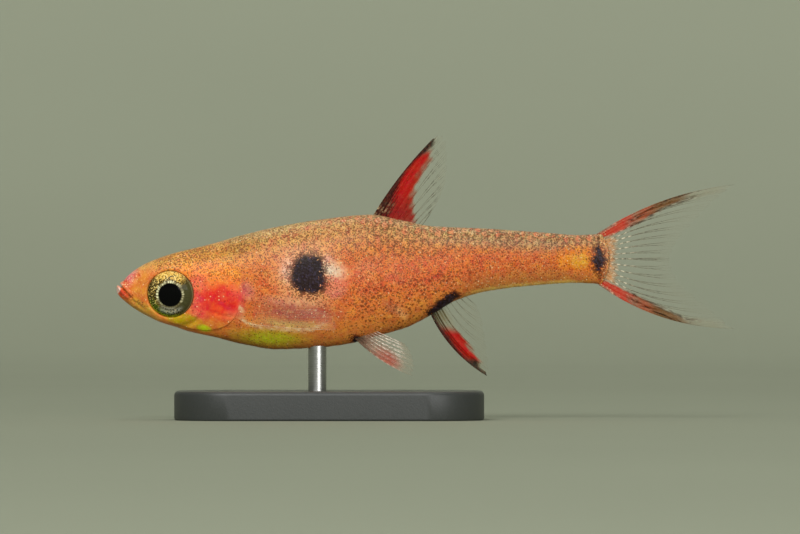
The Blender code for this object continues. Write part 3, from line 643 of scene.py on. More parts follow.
class Surface:
    """A fresh material and short ways to add to its nodes."""

    def __init__(self, name):
        self.material = bpy.data.materials.new(name)
        self.material.use_nodes = True
        self.tree = self.material.node_tree
        self.where = self.millimetres()

    def feed(self, node, inputs):
        """Fills a node's inputs, given by name or number, with plain values or other nodes' outputs."""
        for key, value in inputs.items():
            if hasattr(value, "is_linked"):
                self.tree.links.new(value, node.inputs[key])
            else:
                node.inputs[key].default_value = value

    def add(self, kind, inputs, **settings):
        """New node with its settings and inputs."""
        node = self.tree.nodes.new("ShaderNode" + kind)
        for key, value in settings.items():
            setattr(node, key, value)
        self.feed(node, inputs)
        return node

    def millimetres(self):
        """Output of the Object coordinates in millimetres."""
        metres = self.add("TexCoord", {}).outputs["Object"]
        return self.stretched(metres, (1 / MM, 1 / MM, 1 / MM))

    def stretched(self, where, scale):
        """Output of coordinates scaled along each axis."""
        return self.add("Mapping", {"Vector": where, "Scale": scale}).outputs["Vector"]

    def calc(self, operation, a, b, c=0.0):
        """Output of one sum."""
        return self.add("Math", {0: a, 1: b, 2: c}, operation=operation).outputs[0]

    def times(self, a, b):
        """Output of a product."""
        return self.calc("MULTIPLY", a, b)

    def line(self, value, slope, start):
        """Output of a value times a slope, added to a start."""
        return self.calc("MULTIPLY_ADD", value, slope, start)

    def step(self, value, low, high):
        """Output that goes smoothly from 0 at low to 1 at high."""
        inputs = {"Value": value, "From Min": low, "From Max": high}
        return self.add("MapRange", inputs, interpolation_type="SMOOTHSTEP").outputs["Result"]

    def mix(self, share, *pair):
        """Output of a mix of two colours by share."""
        first, second = (c if hasattr(c, "is_linked") else (*c, 1.0) for c in pair)
        return self.add("Mix", {0: share, 6: first, 7: second}, data_type="RGBA").outputs[2]

    def noise(self, scale, detail, where=None):
        """Output of cloudy noise."""
        inputs = {"Vector": self.where if where is None else where, "Scale": scale, "Detail": detail}
        return self.add("TexNoise", inputs).outputs["Fac"]

    def cells(self, scale):
        """Outputs of a pattern of cells: Distance from each cell's middle and its own chance Color."""
        return self.add("TexVoronoi", {"Vector": self.where, "Scale": scale}).outputs

    def channels(self, colour):
        """The three outputs of a colour's parts."""
        return self.add("SeparateColor", {"Color": colour}).outputs[:3]

    def bump(self, height, strength, distance):
        """Output of a bumpy normal."""
        inputs = {"Height": height, "Strength": strength, "Distance": distance}
        return self.add("Bump", inputs).outputs["Normal"]

    def marks(self):
        """Outputs of a piece's own colour and opacity, its dark dots, gleam, scale edges and grains."""
        tint, fleck = (self.add("Attribute", {}, attribute_name=name).outputs for name in ("tint", "fleck"))
        dark, gleam, edge = self.channels(fleck["Color"])
        return {"colour": tint["Color"], "opacity": tint["Alpha"], "dark": dark, "gleam": gleam, "edge": edge,
                "grains": fleck["Alpha"]}

    def finish(self, inputs):
        """Fills the shader's inputs and gives back the material."""
        self.feed(self.tree.nodes["Principled BSDF"], inputs)
        return self.material


def speckled(web, marks, coarse=None, unrest=1.0):
    """Outputs of living skin's colour and of its dots: mottling, scale edges, bright specks and dark dots."""
    look, sizes = colours(), bpy.context.scene.rasbora_sizes
    dark, grains = marks["dark"], marks["grains"]
    cloud = web.noise(3.2, 7.0)
    colour = web.add("HueSaturation", {
        "Hue": web.line(cloud, 0.056 * unrest, 0.5 - 0.028 * unrest),
        "Value": web.line(cloud, 0.5 * unrest, 1 - 0.25 * unrest),
        "Color": marks["colour"],
    }).outputs["Color"]
    grain = web.cells(1 / sizes.grain_size)
    first, second, third = web.channels(grain["Color"])
    middle = web.step(grain["Distance"], 0.75, 0.1)
    colour = web.mix(web.times(web.times(first, middle), web.times(grains, 0.5)), colour, look.warm_grain)
    colour = web.mix(web.times(web.step(second, 0.5, 1.0), web.times(grains, 0.4)), colour, look.red_grain)
    net = web.step(marks["edge"], 0.1, 0.9)
    colour = web.mix(web.times(net, 0.36), colour, look.net)
    lucky = web.step(third, web.calc("SUBTRACT", 1.0, web.times(marks["gleam"], 0.5)), 1.0)
    bright = web.times(lucky, web.step(grain["Distance"], 0.5, 0.25))
    colour = web.mix(web.times(bright, 0.8), colour, look.gold)

    crowded = web.line(net, 0.17, dark)
    some = web.step(dark, 0.02, 0.12)
    # spacing against the smallest dots', growth of a dot with the darkness, its least size, share of the area
    layers = [(1.0, 0.76, 0.0, some), (1.6, 0.36, 0.15, some)]
    if coarse is not None:
        layers.append((2.4, 0.3, 0.22, coarse))
    inside = None
    for spacing, slope, least, share in layers:
        dots = web.cells(1 / (spacing * sizes.dot_spacing))
        uneven = web.line(web.channels(dots["Color"])[0], 0.5, 0.75)
        reach = web.times(web.line(crowded, slope, least), uneven)
        dot = web.step(dots["Distance"], web.calc("ADD", reach, 0.06), web.calc("SUBTRACT", reach, 0.08))
        dot = web.times(dot, share)
        inside = dot if inside is None else web.calc("MAXIMUM", inside, dot)
    brown = web.mix(web.times(second, 0.6), look.dark_dots, look.brown_dots)
    slate = web.mix(web.step(third, 0.55, 1.0), look.spot_black, look.spot_grey)
    ink = web.mix(web.step(dark, 0.75, 1.15), brown, slate)
    strength = web.line(web.step(dark, 0.5, 1.2), 0.3, 0.68)
    return web.mix(web.times(inside, strength), colour, ink), inside


def living_skin():
    """Material of the skin and the scales: translucent flesh under a damp, dotted surface."""
    skin = Surface("living skin")
    marks = skin.marks()
    colour, _ = speckled(skin, marks, coarse=skin.calc("SUBTRACT", 1.0, marks["opacity"]))
    folds = skin.noise(5.0, 6.0)
    height = skin.line(folds, 0.8, skin.cells(11.0)["Distance"])
    return skin.finish({
        "Base Color": colour,
        "Normal": skin.bump(height, 0.35, 0.00002),
        "Roughness": skin.line(folds, 0.25, 0.28),
        "Subsurface Weight": 0.22,
        "Subsurface Radius": (1.0, 0.4, 0.2),
        "Subsurface Scale": 0.0003,
        "Specular IOR Level": 0.13,
        "Coat Weight": 0.04,
        "Coat Roughness": 0.15,
    })


def fin_web():
    """Material of the fins: clear membrane, firmer rays, red and black pigment."""
    web = Surface("fin web")
    marks = web.marks()
    colour, inside = speckled(web, marks, unrest=0.25)
    opacity = web.calc("MAXIMUM", marks["opacity"], web.times(inside, 0.9))
    return web.finish({"Base Color": colour, "Alpha": opacity, "Roughness": 0.4, "Specular IOR Level": 0.07})


def eye_glass():
    """Material of the eyes: black pupil and flecked iris under a wet, clear surface."""
    eye = Surface("eye")
    marks = eye.marks()
    dust = eye.cells(16.0)["Distance"]
    size = eye.times(marks["gleam"], 0.6)
    bright = eye.step(dust, size, eye.times(size, 0.5))
    colour = eye.mix(eye.times(bright, 0.9), marks["colour"], tone(255, 226, 138))
    reach = eye.times(marks["dark"], 0.8)
    inside = eye.step(eye.cells(15.0)["Distance"], eye.calc("ADD", reach, 0.05), reach)
    return eye.finish({
        "Base Color": eye.mix(eye.times(inside, 0.9), colour, tone(30, 24, 12)),
        "Normal": eye.bump(dust, 0.15, 0.00001),
        "Roughness": 0.45,
        "Specular IOR Level": 0.0,
        "Coat Weight": 0.14,
        "Coat Roughness": 0.1,
    })


def satin_base():
    """Material of the stand's base: dark satin lacquer with a very fine grain."""
    base = Surface("satin base")
    stand = tuple(colours().stand)
    grain = base.noise(14.0, 6.0)
    share = base.line(grain, 0.5, base.times(base.noise(0.6, 3.0), 0.3))
    return base.finish({
        "Base Color": base.mix(share, stand, tuple(min(1.0, c * 1.9 + 0.01) for c in stand)),
        "Normal": base.bump(grain, 0.3, 0.00002),
        "Roughness": base.line(grain, 0.2, 0.34),
    })


def brushed_steel():
    """Material of the rod: steel brushed round its length."""
    steel = Surface("brushed steel")
    lines = steel.noise(2.0, 4.0, where=steel.stretched(steel.where, (1.0, 1.0, 22.0)))
    return steel.finish({
        "Base Color": steel.mix(lines, tone(150, 150, 148), tone(205, 205, 200)),
        "Roughness": steel.line(lines, 0.2, 0.2),
        "Metallic": 1.0,
    })


def matt_floor():
    """Material of the studio floor: matt, with a faint cloud in its colour."""
    floor = Surface("studio floor")
    pale, paler = (tuple(c * share for c in colours().floor) for share in (0.96, 1.04))
    return floor.finish({
        "Base Color": floor.mix(floor.noise(0.02, 2.0), pale, paler),
        "Roughness": 0.85,
        "Specular IOR Level": 0.2,
    })


# Pieces of the body


def build_skin(material):
    """One closed skin over the head, trunk and tail stalk."""
    s, angle, points = shape_skin()
    rows, columns = s.shape
    rings = points.reshape(-1, 3)
    ends = np.array([rings[:columns].mean(0) - (0.01, 0, 0), rings[-columns:].mean(0) + (0.02, 0, 0)])
    flat = np.vstack((rings, ends))
    faces = [face[::-1] for face in tube_faces(rows, columns)]
    tint, fleck = body_marks(flat[:, 0], flat[:, 2])
    fleck[:, 2] = 0
    slit, _, run = path_distance(flat[:, 0], flat[:, 2], MOUTH_LINE)
    # Dark dots crowd along the mouth's slit: painted shade in the crease.
    fleck[:, 0] += 0.9 * hump(slit, 0.035) * ease(1.0, 0.9, run)
    u = np.append(s.ravel(), (0.0, s.max())) / TOTAL_LENGTH
    v = np.append(angle.ravel(), (0.0, 0.0)) / (2 * math.pi)
    return make_object("skin", flat, faces, tint, fleck, material, np.column_stack((u, v)))


def girth_rows(s):
    """Angles from the belly's ridge to the back's, with the arc length to each from the flank's middle."""
    angles = np.linspace(-math.pi / 2, math.pi / 2, GIRTH_STEPS)
    ring = skin_point(np.full(GIRTH_STEPS, s), angles)
    length = np.append(0, np.cumsum(np.linalg.norm(np.diff(ring, axis=0), axis=1)))
    return angles, length - np.interp(0, angles, length)


def scale_centres():
    """Places of one side's scales, (s, arc length from the flank's middle), in rows that keep their width."""
    stations = [FIRST_SCALE_S]
    while stations[-1] < LAST_SCALE_S:
        stations.append(stations[-1] + float(profile(SCALE_PITCH, stations[-1])) / 2)
    centres = []
    for k, s in enumerate(stations):
        angles, length = girth_rows(s)
        pitch = float(profile(ROW_PITCH, s))
        shift = 0.5 * (k % 2)
        for row in range(-SCALE_ROWS_EACH_WAY, SCALE_ROWS_EACH_WAY + 1):
            w = (row + shift) * pitch
            if length[0] - 0.2 * pitch < w < length[-1] + 0.2 * pitch:
                centres.append((s, w, angles, length, pitch))
    return centres


def scale_allowed(s, z):
    """Whether a scale may stand here: behind the gill opening and short of the round tail end."""
    distance, side, _ = path_distance(np.array([s]), np.array([z]), GILL_OPENING)
    behind = side[0] > 0 and (distance[0] > 0.12 or s > 5.5)
    nape = s > 4.4 and z > 1.1
    reach = math.hypot(s - STALK_CENTRE[0], z - STALK_CENTRE[1])
    on_end = s > STALK_CENTRE[0] and reach > STALK_RADIUS - 0.32
    return (behind or nape) and not on_end


def scale_faces(rim):
    """Faces of one closed scale: its top, its sides and the fan of its underside."""
    size = SCALE_ALONG * SCALE_ACROSS
    middle = size + len(rim)
    pairs = [(rim[i], size + i, rim[j], size + j) for i, j in edges_of(list(range(len(rim))))]
    sides = [(a, below_a, below_b, b) for a, below_a, b, below_b in pairs]
    under = [(middle, below_b, below_a) for _, below_a, _, below_b in pairs]
    return grid_faces(SCALE_ALONG, SCALE_ACROSS) + sides + under


def wrap_angle(w, angles, length):
    """Angle round the body at an arc length, carried on past either ridge."""
    low, high = length[0], length[-1]
    folded = np.where(w > high, 2 * high - w, np.where(w < low, 2 * low - w, w))
    angle = np.interp(folded, length, angles)
    return np.where(w > high, math.pi - angle, np.where(w < low, -math.pi - angle, angle))


def build_scales(material):
    """Thin overlapping scales of both flanks, each a closed plate that lifts a little at its rear edge."""
    lift = bpy.context.scene.rasbora_sizes.scale_lift
    core = np.array(colours().core)
    across = np.linspace(-1, 1, SCALE_ACROSS)
    t, b = np.meshgrid(np.linspace(0, 1, SCALE_ALONG), across, indexing="ij")
    rear = np.sqrt(np.maximum(1 - (np.abs(across) * 0.97) ** 2.2, 0)) ** 0.9
    reach = -0.75 + t * (0.75 + 0.75 * rear[None, :])
    rim = grid_rim(SCALE_ALONG, SCALE_ACROSS)
    shape = scale_faces(rim)
    flipped = [face[::-1] for face in shape]

    def plate_of(top, low, middle):
        """Values of a whole plate: its top, the rim of its underside and the underside's middle."""
        return np.concatenate((top, low[rim], [middle]))

    edge = np.maximum(ease(0.72, 1.0, t), ease(0.7, 1.0, np.abs(b)) * ease(0.35, 0.6, t)).ravel()
    edge = plate_of(edge, edge, 0)
    t_flat, b_flat = t.ravel(), b.ravel()
    patch = np.column_stack((plate_of(t_flat, t_flat, 0.5), plate_of(b_flat, b_flat, 0.0) / 2 + 0.5))
    points, faces, tints, flecks, maps = [], [], [], [], []
    for number, (s0, w0, angles, length, pitch) in enumerate(scale_centres()):
        middle = np.interp(np.clip(w0, length[0], length[-1]), length, angles)
        if not scale_allowed(s0, skin_point(np.array([s0]), np.array([middle]))[0, 2]):
            continue
        step = float(profile(SCALE_PITCH, s0))
        s = s0 + 0.03 * math.sin(number * 12.9898) * step + reach * step
        angle = wrap_angle(w0 + b * pitch * 0.72 + 0.02 * math.sin(number * 4.7), angles, length)
        surface, normals = skin_point(s, angle), skin_normal(s, angle)
        height = 0.002 + lift * t**1.3 + 0.006 * (1 - b * b) * t
        top = (surface + normals * height[..., None]).reshape(-1, 3)
        low = (surface + normals * (height - 0.012 - 0.012 * (1 - t))[..., None]).reshape(-1, 3)
        plate = plate_of(top, low, low[len(low) // 2])

        tint, fleck = body_marks(plate[:, 0], plate[:, 2])
        fleck[:, 2] *= edge
        chance = 0.5 + 0.5 * math.sin(number * 78.233)
        upper = ease(0.5, 0.8, w0 / length[-1]) * (0.3 + 0.7 * chance) * ease(7.0, 9.5, s0)
        blush = 0.85 * upper * ease(0.6, 0.2, edge)
        tint[:, :3] = mixed(tint[:, :3], blush, core) * (1 + 0.05 * math.sin(number * 37.719))
        fleck[:, 0] -= 0.12 * blush
        turn = float(angle[0, SCALE_ACROSS // 2]) / (2 * math.pi)
        for side, order in ((1, shape), (-1, flipped)):
            start = len(points) * len(plate)
            points.append(plate * (1, side, 1))
            faces += [tuple(i + start for i in face) for face in order]
            tints.append(tint)
            flecks.append(fleck)
            maps.append((s0 / TOTAL_LENGTH, 0.5 + side * turn) + (patch - 0.5) * 0.003)
    made = make_object("scales", np.vstack(points), faces, np.vstack(tints), np.vstack(flecks), material,
                       np.vstack(maps))
    made.data.set_sharp_from_angle(angle=math.radians(50))
    return made


def eye_marks(radius, turn):
    """Colour, dark dots and gold dust of the iris by radius and angle, from the tail's side upwards."""
    colour = np.tile(np.array(tone(82, 70, 36)), (*radius.shape, 1))

    def lay(share, *shade):
        nonlocal colour
        colour = mixed(colour, share, tone(*shade))

    def sector(centre, half):
        gap = np.abs((turn - math.radians(centre) + math.pi) % (2 * math.pi) - math.pi)
        return ease(math.radians(half), math.radians(half * 0.45), gap)

    pupil = np.hypot(radius * np.cos(turn) - PUPIL_SHIFT, radius * np.sin(turn))
    outer = ease(0.6, 0.72, radius)
    lay(ease(0.5, 0.7, radius) * sector(170, 80) * 0.6, 176, 140, 60)
    lay(ease(0.5, 0.66, radius) * sector(94, 76), 104, 78, 30)
    lay(outer * sector(90, 60), 224, 176, 82)
    lay(outer * sector(232, 58) * 0.9, 70, 96, 20)
    lay(ease(0.84, 0.92, radius) * sector(238, 72), 164, 176, 30)
    lay(ease(0.56, 0.66, radius) * sector(-12, 66), 74, 72, 42)
    lay(ease(0.9, 0.94, radius) * sector(-5, 75) * 0.7, 150, 140, 96)

    spokes = 0.5 + 0.5 * np.sin(turn * 19 + 3 * np.sin(turn * 4))
    width = 0.07 + 0.05 * spokes * (sector(90, 80) + sector(180, 60) + 0.6 * sector(0, 50))
    ring = ease(PUPIL_RADIUS + 0.01, PUPIL_RADIUS + 0.025, pupil)
    ring = ring * ease(PUPIL_RADIUS + width + 0.03, PUPIL_RADIUS + width, pupil)
    broken = ease(-0.5, 0.5, np.sin(turn * 7 + 1.0) * np.sin(turn * 3 + 0.4) + 0.5 * sector(165, 70))
    broken = broken * (1 - 0.85 * sector(272, 52))
    flashes = 0.6 + 0.4 * np.sin(turn * 31 + 2 * np.sin(turn * 5))
    lay(ring * (0.25 + 0.75 * broken) * flashes * (0.5 + 0.5 * sector(120, 150)), 255, 250, 196)
    colour = mixed(colour, ease(PUPIL_RADIUS + 0.03, PUPIL_RADIUS + 0.006, pupil), (0.002, 0.002, 0.002))
    colour *= 1 + 0.14 * (np.sin(turn * 37 + 2 * np.sin(turn * 7)) * ease(0.95, 0.7, radius))[..., None]
    lay(ease(0.935, 0.965, radius) * 0.5, 90, 70, 30)
    silver = hump(radius - 0.72, 0.07) * sector(272, 50) + 0.7 * hump(radius - 0.58, 0.04) * sector(262, 40)
    lay(0.6 * silver, 196, 196, 176)

    off = ease(0.55, 0.62, pupil)
    dark = (0.5 + 0.12 * sector(92, 60) * ease(0.76, 0.62, radius) + 0.2 * sector(165, 55)) * off
    dark = dark * (1 - 0.7 * sector(-12, 60)) * (1 - 0.25 * ease(0.72, 0.85, radius) * sector(92, 60))
    gold = (0.2 + 0.68 * sector(95, 75) + 0.56 * sector(180, 56) + 0.4 * silver) * off
    return colour, dark, gold * (1 - 0.9 * sector(-12, 62))


def build_eye(name, side, material):
    """Eyeball: a raised pupil, a sloping iris and a rim set into the socket."""
    centre, back, up, out = eye_frame(side)
    table = np.array(EYE_PROFILE)
    travel = np.append(0, np.cumsum(np.hypot(*np.diff(table, axis=0).T)))
    even = np.linspace(0, travel[-1], EYE_RINGS)[1:]
    radius, depth = (np.interp(even, travel, column) for column in table.T)
    for _ in range(3):
        depth[1:-1] = (depth[:-2] + 2 * depth[1:-1] + depth[2:]) / 4
    turn = np.tile(2 * math.pi * np.arange(EYE_SEGMENTS) / EYE_SEGMENTS, (len(even), 1))
    r = np.tile(radius[:, None], (1, EYE_SEGMENTS))
    rings = centre + (r * np.cos(turn))[..., None] * back + (r * np.sin(turn))[..., None] * up
    rings = rings + depth[:, None, None] * out
    flat = np.vstack((rings.reshape(-1, 3), centre + table[0, 1] * out, centre + table[-1, 1] * out))
    faces = tube_faces(len(even), EYE_SEGMENTS)
    if side < 0:
        faces = [face[::-1] for face in faces]
    colour, dark, gold = eye_marks(np.append(r.ravel(), (0, 0.7)), np.append(turn.ravel(), (0, 0)))
    ones = np.ones(len(flat))
    tint, fleck = np.column_stack((colour, ones)), np.column_stack((dark, gold, 0 * ones, ones))
    return make_object(name, flat, faces, tint, fleck, material)


# Fins


def blade_of(root, margin, bow, side=1):
    """Function of a fin's middle: u runs from the first ray to the last, t from the root to the margin."""
    def lift(points):
        points = np.array([(p[0], 0.0, p[1]) if len(p) == 2 else p for p in points])
        return points * (1, side, 1)

    root, margin = lift(root), lift(margin)

    def blade(u, t):
        start = along(root, u)
        chord = along(margin, u) - start
        sag = bow[0] * (1 - u) + bow[1] * u
        bend = unit(np.stack((chord[..., 2], 0 * u, -chord[..., 0]), axis=-1)) * sag[..., None]
        return start + chord * t[..., None] + bend * (2 * t * (1 - t))[..., None]

    return blade


def pectoral_blade(side):
    """Blade of a pectoral fin, bowed outwards to clear the flank."""
    straight = blade_of(PECTORAL_ROOT, PECTORAL_MARGIN, (0.1, 0), side)

    def blade(u, t):
        points = straight(u, t)
        reach = np.maximum(points[..., 0] - PECTORAL_ROOT[0][0], 0)
        points[..., 1] += side * 0.42 * (1 - np.exp(-3.0 * reach)) * np.exp(-reach / 2.6)
        return points

    return blade


def blade_normal(blade, u, t):
    """Direction across the blade."""
    step = 0.01
    across = blade(np.clip(u + step, 0, 1), t) - blade(np.clip(u - step, 0, 1), t)
    out = blade(u, t + step) - blade(u, t - step)
    return unit(np.cross(across, out))


def web_sheet(blade, rays, rows, pleat):
    """Two-faced membrane with pleats between the rays and a scalloped margin: points, faces, u and t."""
    columns = (rays - 1) * COLUMNS_TO_A_RAY + 1
    u, t = np.meshgrid(np.linspace(0, 1, columns), np.linspace(0, 1, rows), indexing="ij")
    hollow = 1 - np.cos(math.pi * u * (rays - 1)) ** 2
    fray = 0.5 + 0.5 * np.sin(u * (rays - 1) * FRAY_WAVE)
    t = t * (1 - WEB_NOTCH * hollow - WEB_FRAY * fray)
    normal = blade_normal(blade, u, t)
    middle = blade(u, t) + normal * (pleat * hollow * np.sin(math.pi * np.clip(t, 0, 1)))[..., None]
    half = MEMBRANE_HALF * (1 - 0.6 * t)[..., None]
    size = columns * rows
    faces = grid_faces(columns, rows)
    faces += [tuple(i + size for i in face[::-1]) for face in faces]
    faces += [(a, b, b + size, a + size) for a, b in edges_of(grid_rim(columns, rows))]
    points = np.vstack(((middle + normal * half).reshape(-1, 3), (middle - normal * half).reshape(-1, 3)))
    return points, faces, np.tile(u.ravel(), 2), np.tile(t.ravel(), 2)


def ray_branches(index, rays, unbranched):
    """Stretches of one ray as (start, end, offset at either, girth), with offsets in ray spacings."""
    if index in unbranched:
        return [(0.0, 0.995, 0.0, 0.0, 1.25)]

    def kept(offset):
        outside = (index == 0 and offset < 0) or (index == rays - 1 and offset > 0)
        return 0.0 if outside else offset

    stretches = [(0.0, 0.3, 0.0, 0.0, 1.0)]
    for way in (-0.2, 0.2):
        middle = kept(way)
        stretches.append((0.28, 0.62, 0.0, middle * 0.6, 0.72))
        for split in (-0.12, 0.12):
            stretches.append((0.6, 0.985, middle * 0.6, kept(middle + split), 0.5))
    return stretches


def ray_tubes(blade, rays, radius, unbranched):
    """Jointed, branching fin rays as slim tubes: points, faces, u and t."""
    turn = 2 * math.pi * np.arange(RAY_SIDES) / RAY_SIDES
    points, faces, us, ts = [], [], [], []
    count = 0
    for index in range(rays):
        u0 = index / (rays - 1)
        for start, end, off_a, off_b, girth in ray_branches(index, rays, unbranched):
            probe = blade(np.array([u0, u0]), np.array([start, end]))
            rings = max(4, int(np.linalg.norm(probe[1] - probe[0]) / RAY_JOINT) * 2)
            t = np.linspace(start, end, rings)
            share = ease(0, 1, (t - start) / (end - start))
            u = np.clip(u0 + (off_a + (off_b - off_a) * share) / (rays - 1), 0, 1)
            line = blade(u, t)
            across = blade_normal(blade, u, np.clip(t, 0.01, 0.99))
            beside = unit(np.cross(unit(np.gradient(line, axis=0)), across))
            knots = 1 - 0.2 * (np.arange(rings) % 2)
            girths = radius * girth * (1 - 0.62 * t) * knots
            spokes = np.cos(turn)[:, None] * across[:, None] + np.sin(turn)[:, None] * beside[:, None]
            ring = line[:, None] + girths[:, None, None] * spokes
            points += [ring.reshape(-1, 3), line[:1], line[-1:]]
            faces += tube_faces(rings, RAY_SIDES, count)
            us.append(np.append(np.repeat(u, RAY_SIDES), (u[0], u[-1])))
            ts.append(np.append(np.repeat(t, RAY_SIDES), (t[0], t[-1])))
            count += rings * RAY_SIDES + 2
    return np.vstack(points), faces, np.concatenate(us), np.concatenate(ts)


def build_fin(name, blade, rays, paint, material, rows=44, radius=0.036, pleat=0.03, unbranched=()):
    """Fin of a see-through membrane and its jointed rays."""
    web, web_faces, web_u, web_t = web_sheet(blade, rays, rows, pleat)
    rods, rod_faces, rod_u, rod_t = ray_tubes(blade, rays, radius, unbranched)
    points = np.vstack((web, rods))
    faces = web_faces + [tuple(i + len(web) for i in face) for face in rod_faces]
    is_ray = np.append(np.zeros(len(web)), np.ones(len(rods)))
    tint, fleck = paint(points[:, 0], points[:, 2], np.append(web_u, rod_u), np.append(web_t, rod_t), is_ray)
    return make_object(name, points, faces, tint, fleck, material)


class Coat:
    """Colour and opacity of a fin's points, laid on in layers."""

    def __init__(self, points, shade, opacity):
        self.colour = np.tile(np.array(tone(*shade)), (len(points), 1))
        self.opacity = np.full(len(points), opacity)

    def lay(self, share, shade, opacity):
        """Lays a shade in 0 to 255 values and its opacity over the points by share."""
        self.lay_linear(share, tone(*shade), opacity)

    def lay_linear(self, share, shade, opacity):
        """Lays a linear shade and its opacity over the points by share."""
        self.colour = mixed(self.colour, share, shade)
        self.opacity = self.opacity + share * (opacity - self.opacity)

    def layers(self, dark, gleam):
        """Tint and fleck layers of the fin."""
        ones = np.ones(len(self.opacity))
        tint = np.column_stack((self.colour, np.clip(self.opacity, 0, 1)))
        return tint, np.column_stack((dark, gleam, 0 * ones, 0.12 * ones))


def level_line(points, z):
    """Value of s on a line of (s, z) points at the heights z."""
    places, heights = np.array(sorted(points, key=lambda point: (point[1], point[0]))).T
    return np.interp(z, heights, places)


def joints(s, u, length=0.27):
    """Joints of the rays, 1 in the middle of each and 0 between them."""
    return ease(0.25, 0.75, 0.5 + 0.5 * np.sin(2 * math.pi * (s / length + 7.3 * u)))


def ray_wave(u, rays, times=1.0, shift=0.0):
    """Wave across a fin, with so many crests to each space between rays."""
    return np.cos(u * (rays - 1) * 2 * math.pi * times + shift)


def paint_dorsal(s, z, u, t, is_ray):
    """Black front band, red field behind it and a clear rear part with a few white specks."""
    coat = Coat(s, (150, 148, 120), 0.04)
    coat.lay(is_ray, (112, 106, 80), 0.05 + 0.11 * ease(1.0, 0.7, t))
    tips = is_ray * joints(z, u) * ease(0.55, 0.7, t) * ease(0.98, 0.85, t)
    coat.lay(tips * 0.7, (52, 46, 34), 0.6)

    gap = s - level_line(DORSAL_LEADING, z)
    rear = level_line(DORSAL_RED_REAR, z) + 0.07 * ripple(s, z, 0.4, 5) + 0.05 * ray_wave(u, DORSAL_RAYS)
    red = ease(rear + 0.14, rear - 0.16, s) * ease(2.4, 3.0, z) * ease(5.9, 5.5, z)
    low = ease(4.1, 3.1, z)
    coat.lay_linear(red, colours().fin_red, 0.9)
    coat.lay(red * ease(rear - 0.28, rear - 0.02, s) * ease(2.9, 3.6, z) * 0.6, (150, 60, 20), 0.8)
    coat.lay(red * low * 0.6, (116, 26, 24), 0.88)

    width = 0.22 + (0.46 + 0.2 * ray_wave(u, DORSAL_RAYS, 2.5, 1.0)) * ease(4.8, 3.0, z)
    width = width + 0.1 * ease(5.3, 5.7, z) + 0.04 * ripple(s, z, 0.4, 6)
    black = ease(width + 0.12, width - 0.1, gap) * ease(6.5, 6.3, z)
    black = np.maximum(black, ease(5.4, 5.7, z) * ease(0.46, 0.3, gap)) * ease(13.26, 13.0, s)
    coat.lay(black * 0.94, (16, 10, 10), 0.97)
    dashes = hump(np.sin(u * (DORSAL_RAYS - 1) * 2 * math.pi * 1.5 + 0.8) - 1, 0.5) * joints(z, u * 30, 0.3)
    coat.lay(dashes * ease(3.7, 3.3, z) * ease(0.8, 0.5, gap) * 0.7, (206, 176, 132), 0.95)

    gleam = 0.5 * is_ray * black * ease(3.9, 3.1, z) + 0.5 * spot_at(s, z, (13.5, 4.75), (0.16, 0.5), 0, 0.5)
    return coat.layers(0.12 * red + 0.2 * red * low + 0.3 * black, gleam)


def paint_anal(s, z, u, t, is_ray):
    """Black front edge and tip, a red streak behind it and a clear rear part with faint rays."""
    coat = Coat(s, (140, 134, 100), 0.035)
    coat.lay(is_ray, (118, 110, 82), 0.05 + 0.11 * ease(1.0, 0.6, t))
    gap = s - level_line(ANAL_LEADING, z)
    olive = ease(-1.9, -1.0, z) * ease(0.95, 0.5, gap) * (0.7 + 0.3 * ray_wave(u, ANAL_RAYS, 2))
    coat.lay(olive, (104, 92, 46), 0.72)
    rear = 0.72 + 0.08 * ripple(s, z, 0.35, 7) + 0.06 * ray_wave(u, ANAL_RAYS)
    red = ease(rear + 0.12, rear - 0.1, gap) * ease(-1.32, -1.82, z + 0.2 * gap) * ease(-3.15, -2.85, z)
    coat.lay_linear(red, colours().fin_red, 0.9)

    lines = 0.5 + 0.5 * ray_wave(u, ANAL_RAYS, 3)
    tip_width = 0.24 + 0.34 * ease(-3.45, -2.95, z)
    black = ease(0.26, 0.12, gap + 0.04 * ripple(s, z, 0.4, 8))
    black = np.maximum(black, 0.8 * lines * ease(0.46, 0.3, gap))
    black = np.maximum(black, ease(-2.7, -3.05, z) * ease(tip_width + 0.12, tip_width - 0.1, gap))
    coat.lay(black * 0.94, (14, 10, 8), 0.96)
    coat.lay(is_ray * ease(0.36, 0.1, t) * ease(0.7, 0.85, u), (246, 214, 160), 0.7)
    return coat.layers(0.08 * red + 0.3 * black + 0.12 * olive, 0.2 * is_ray * olive)


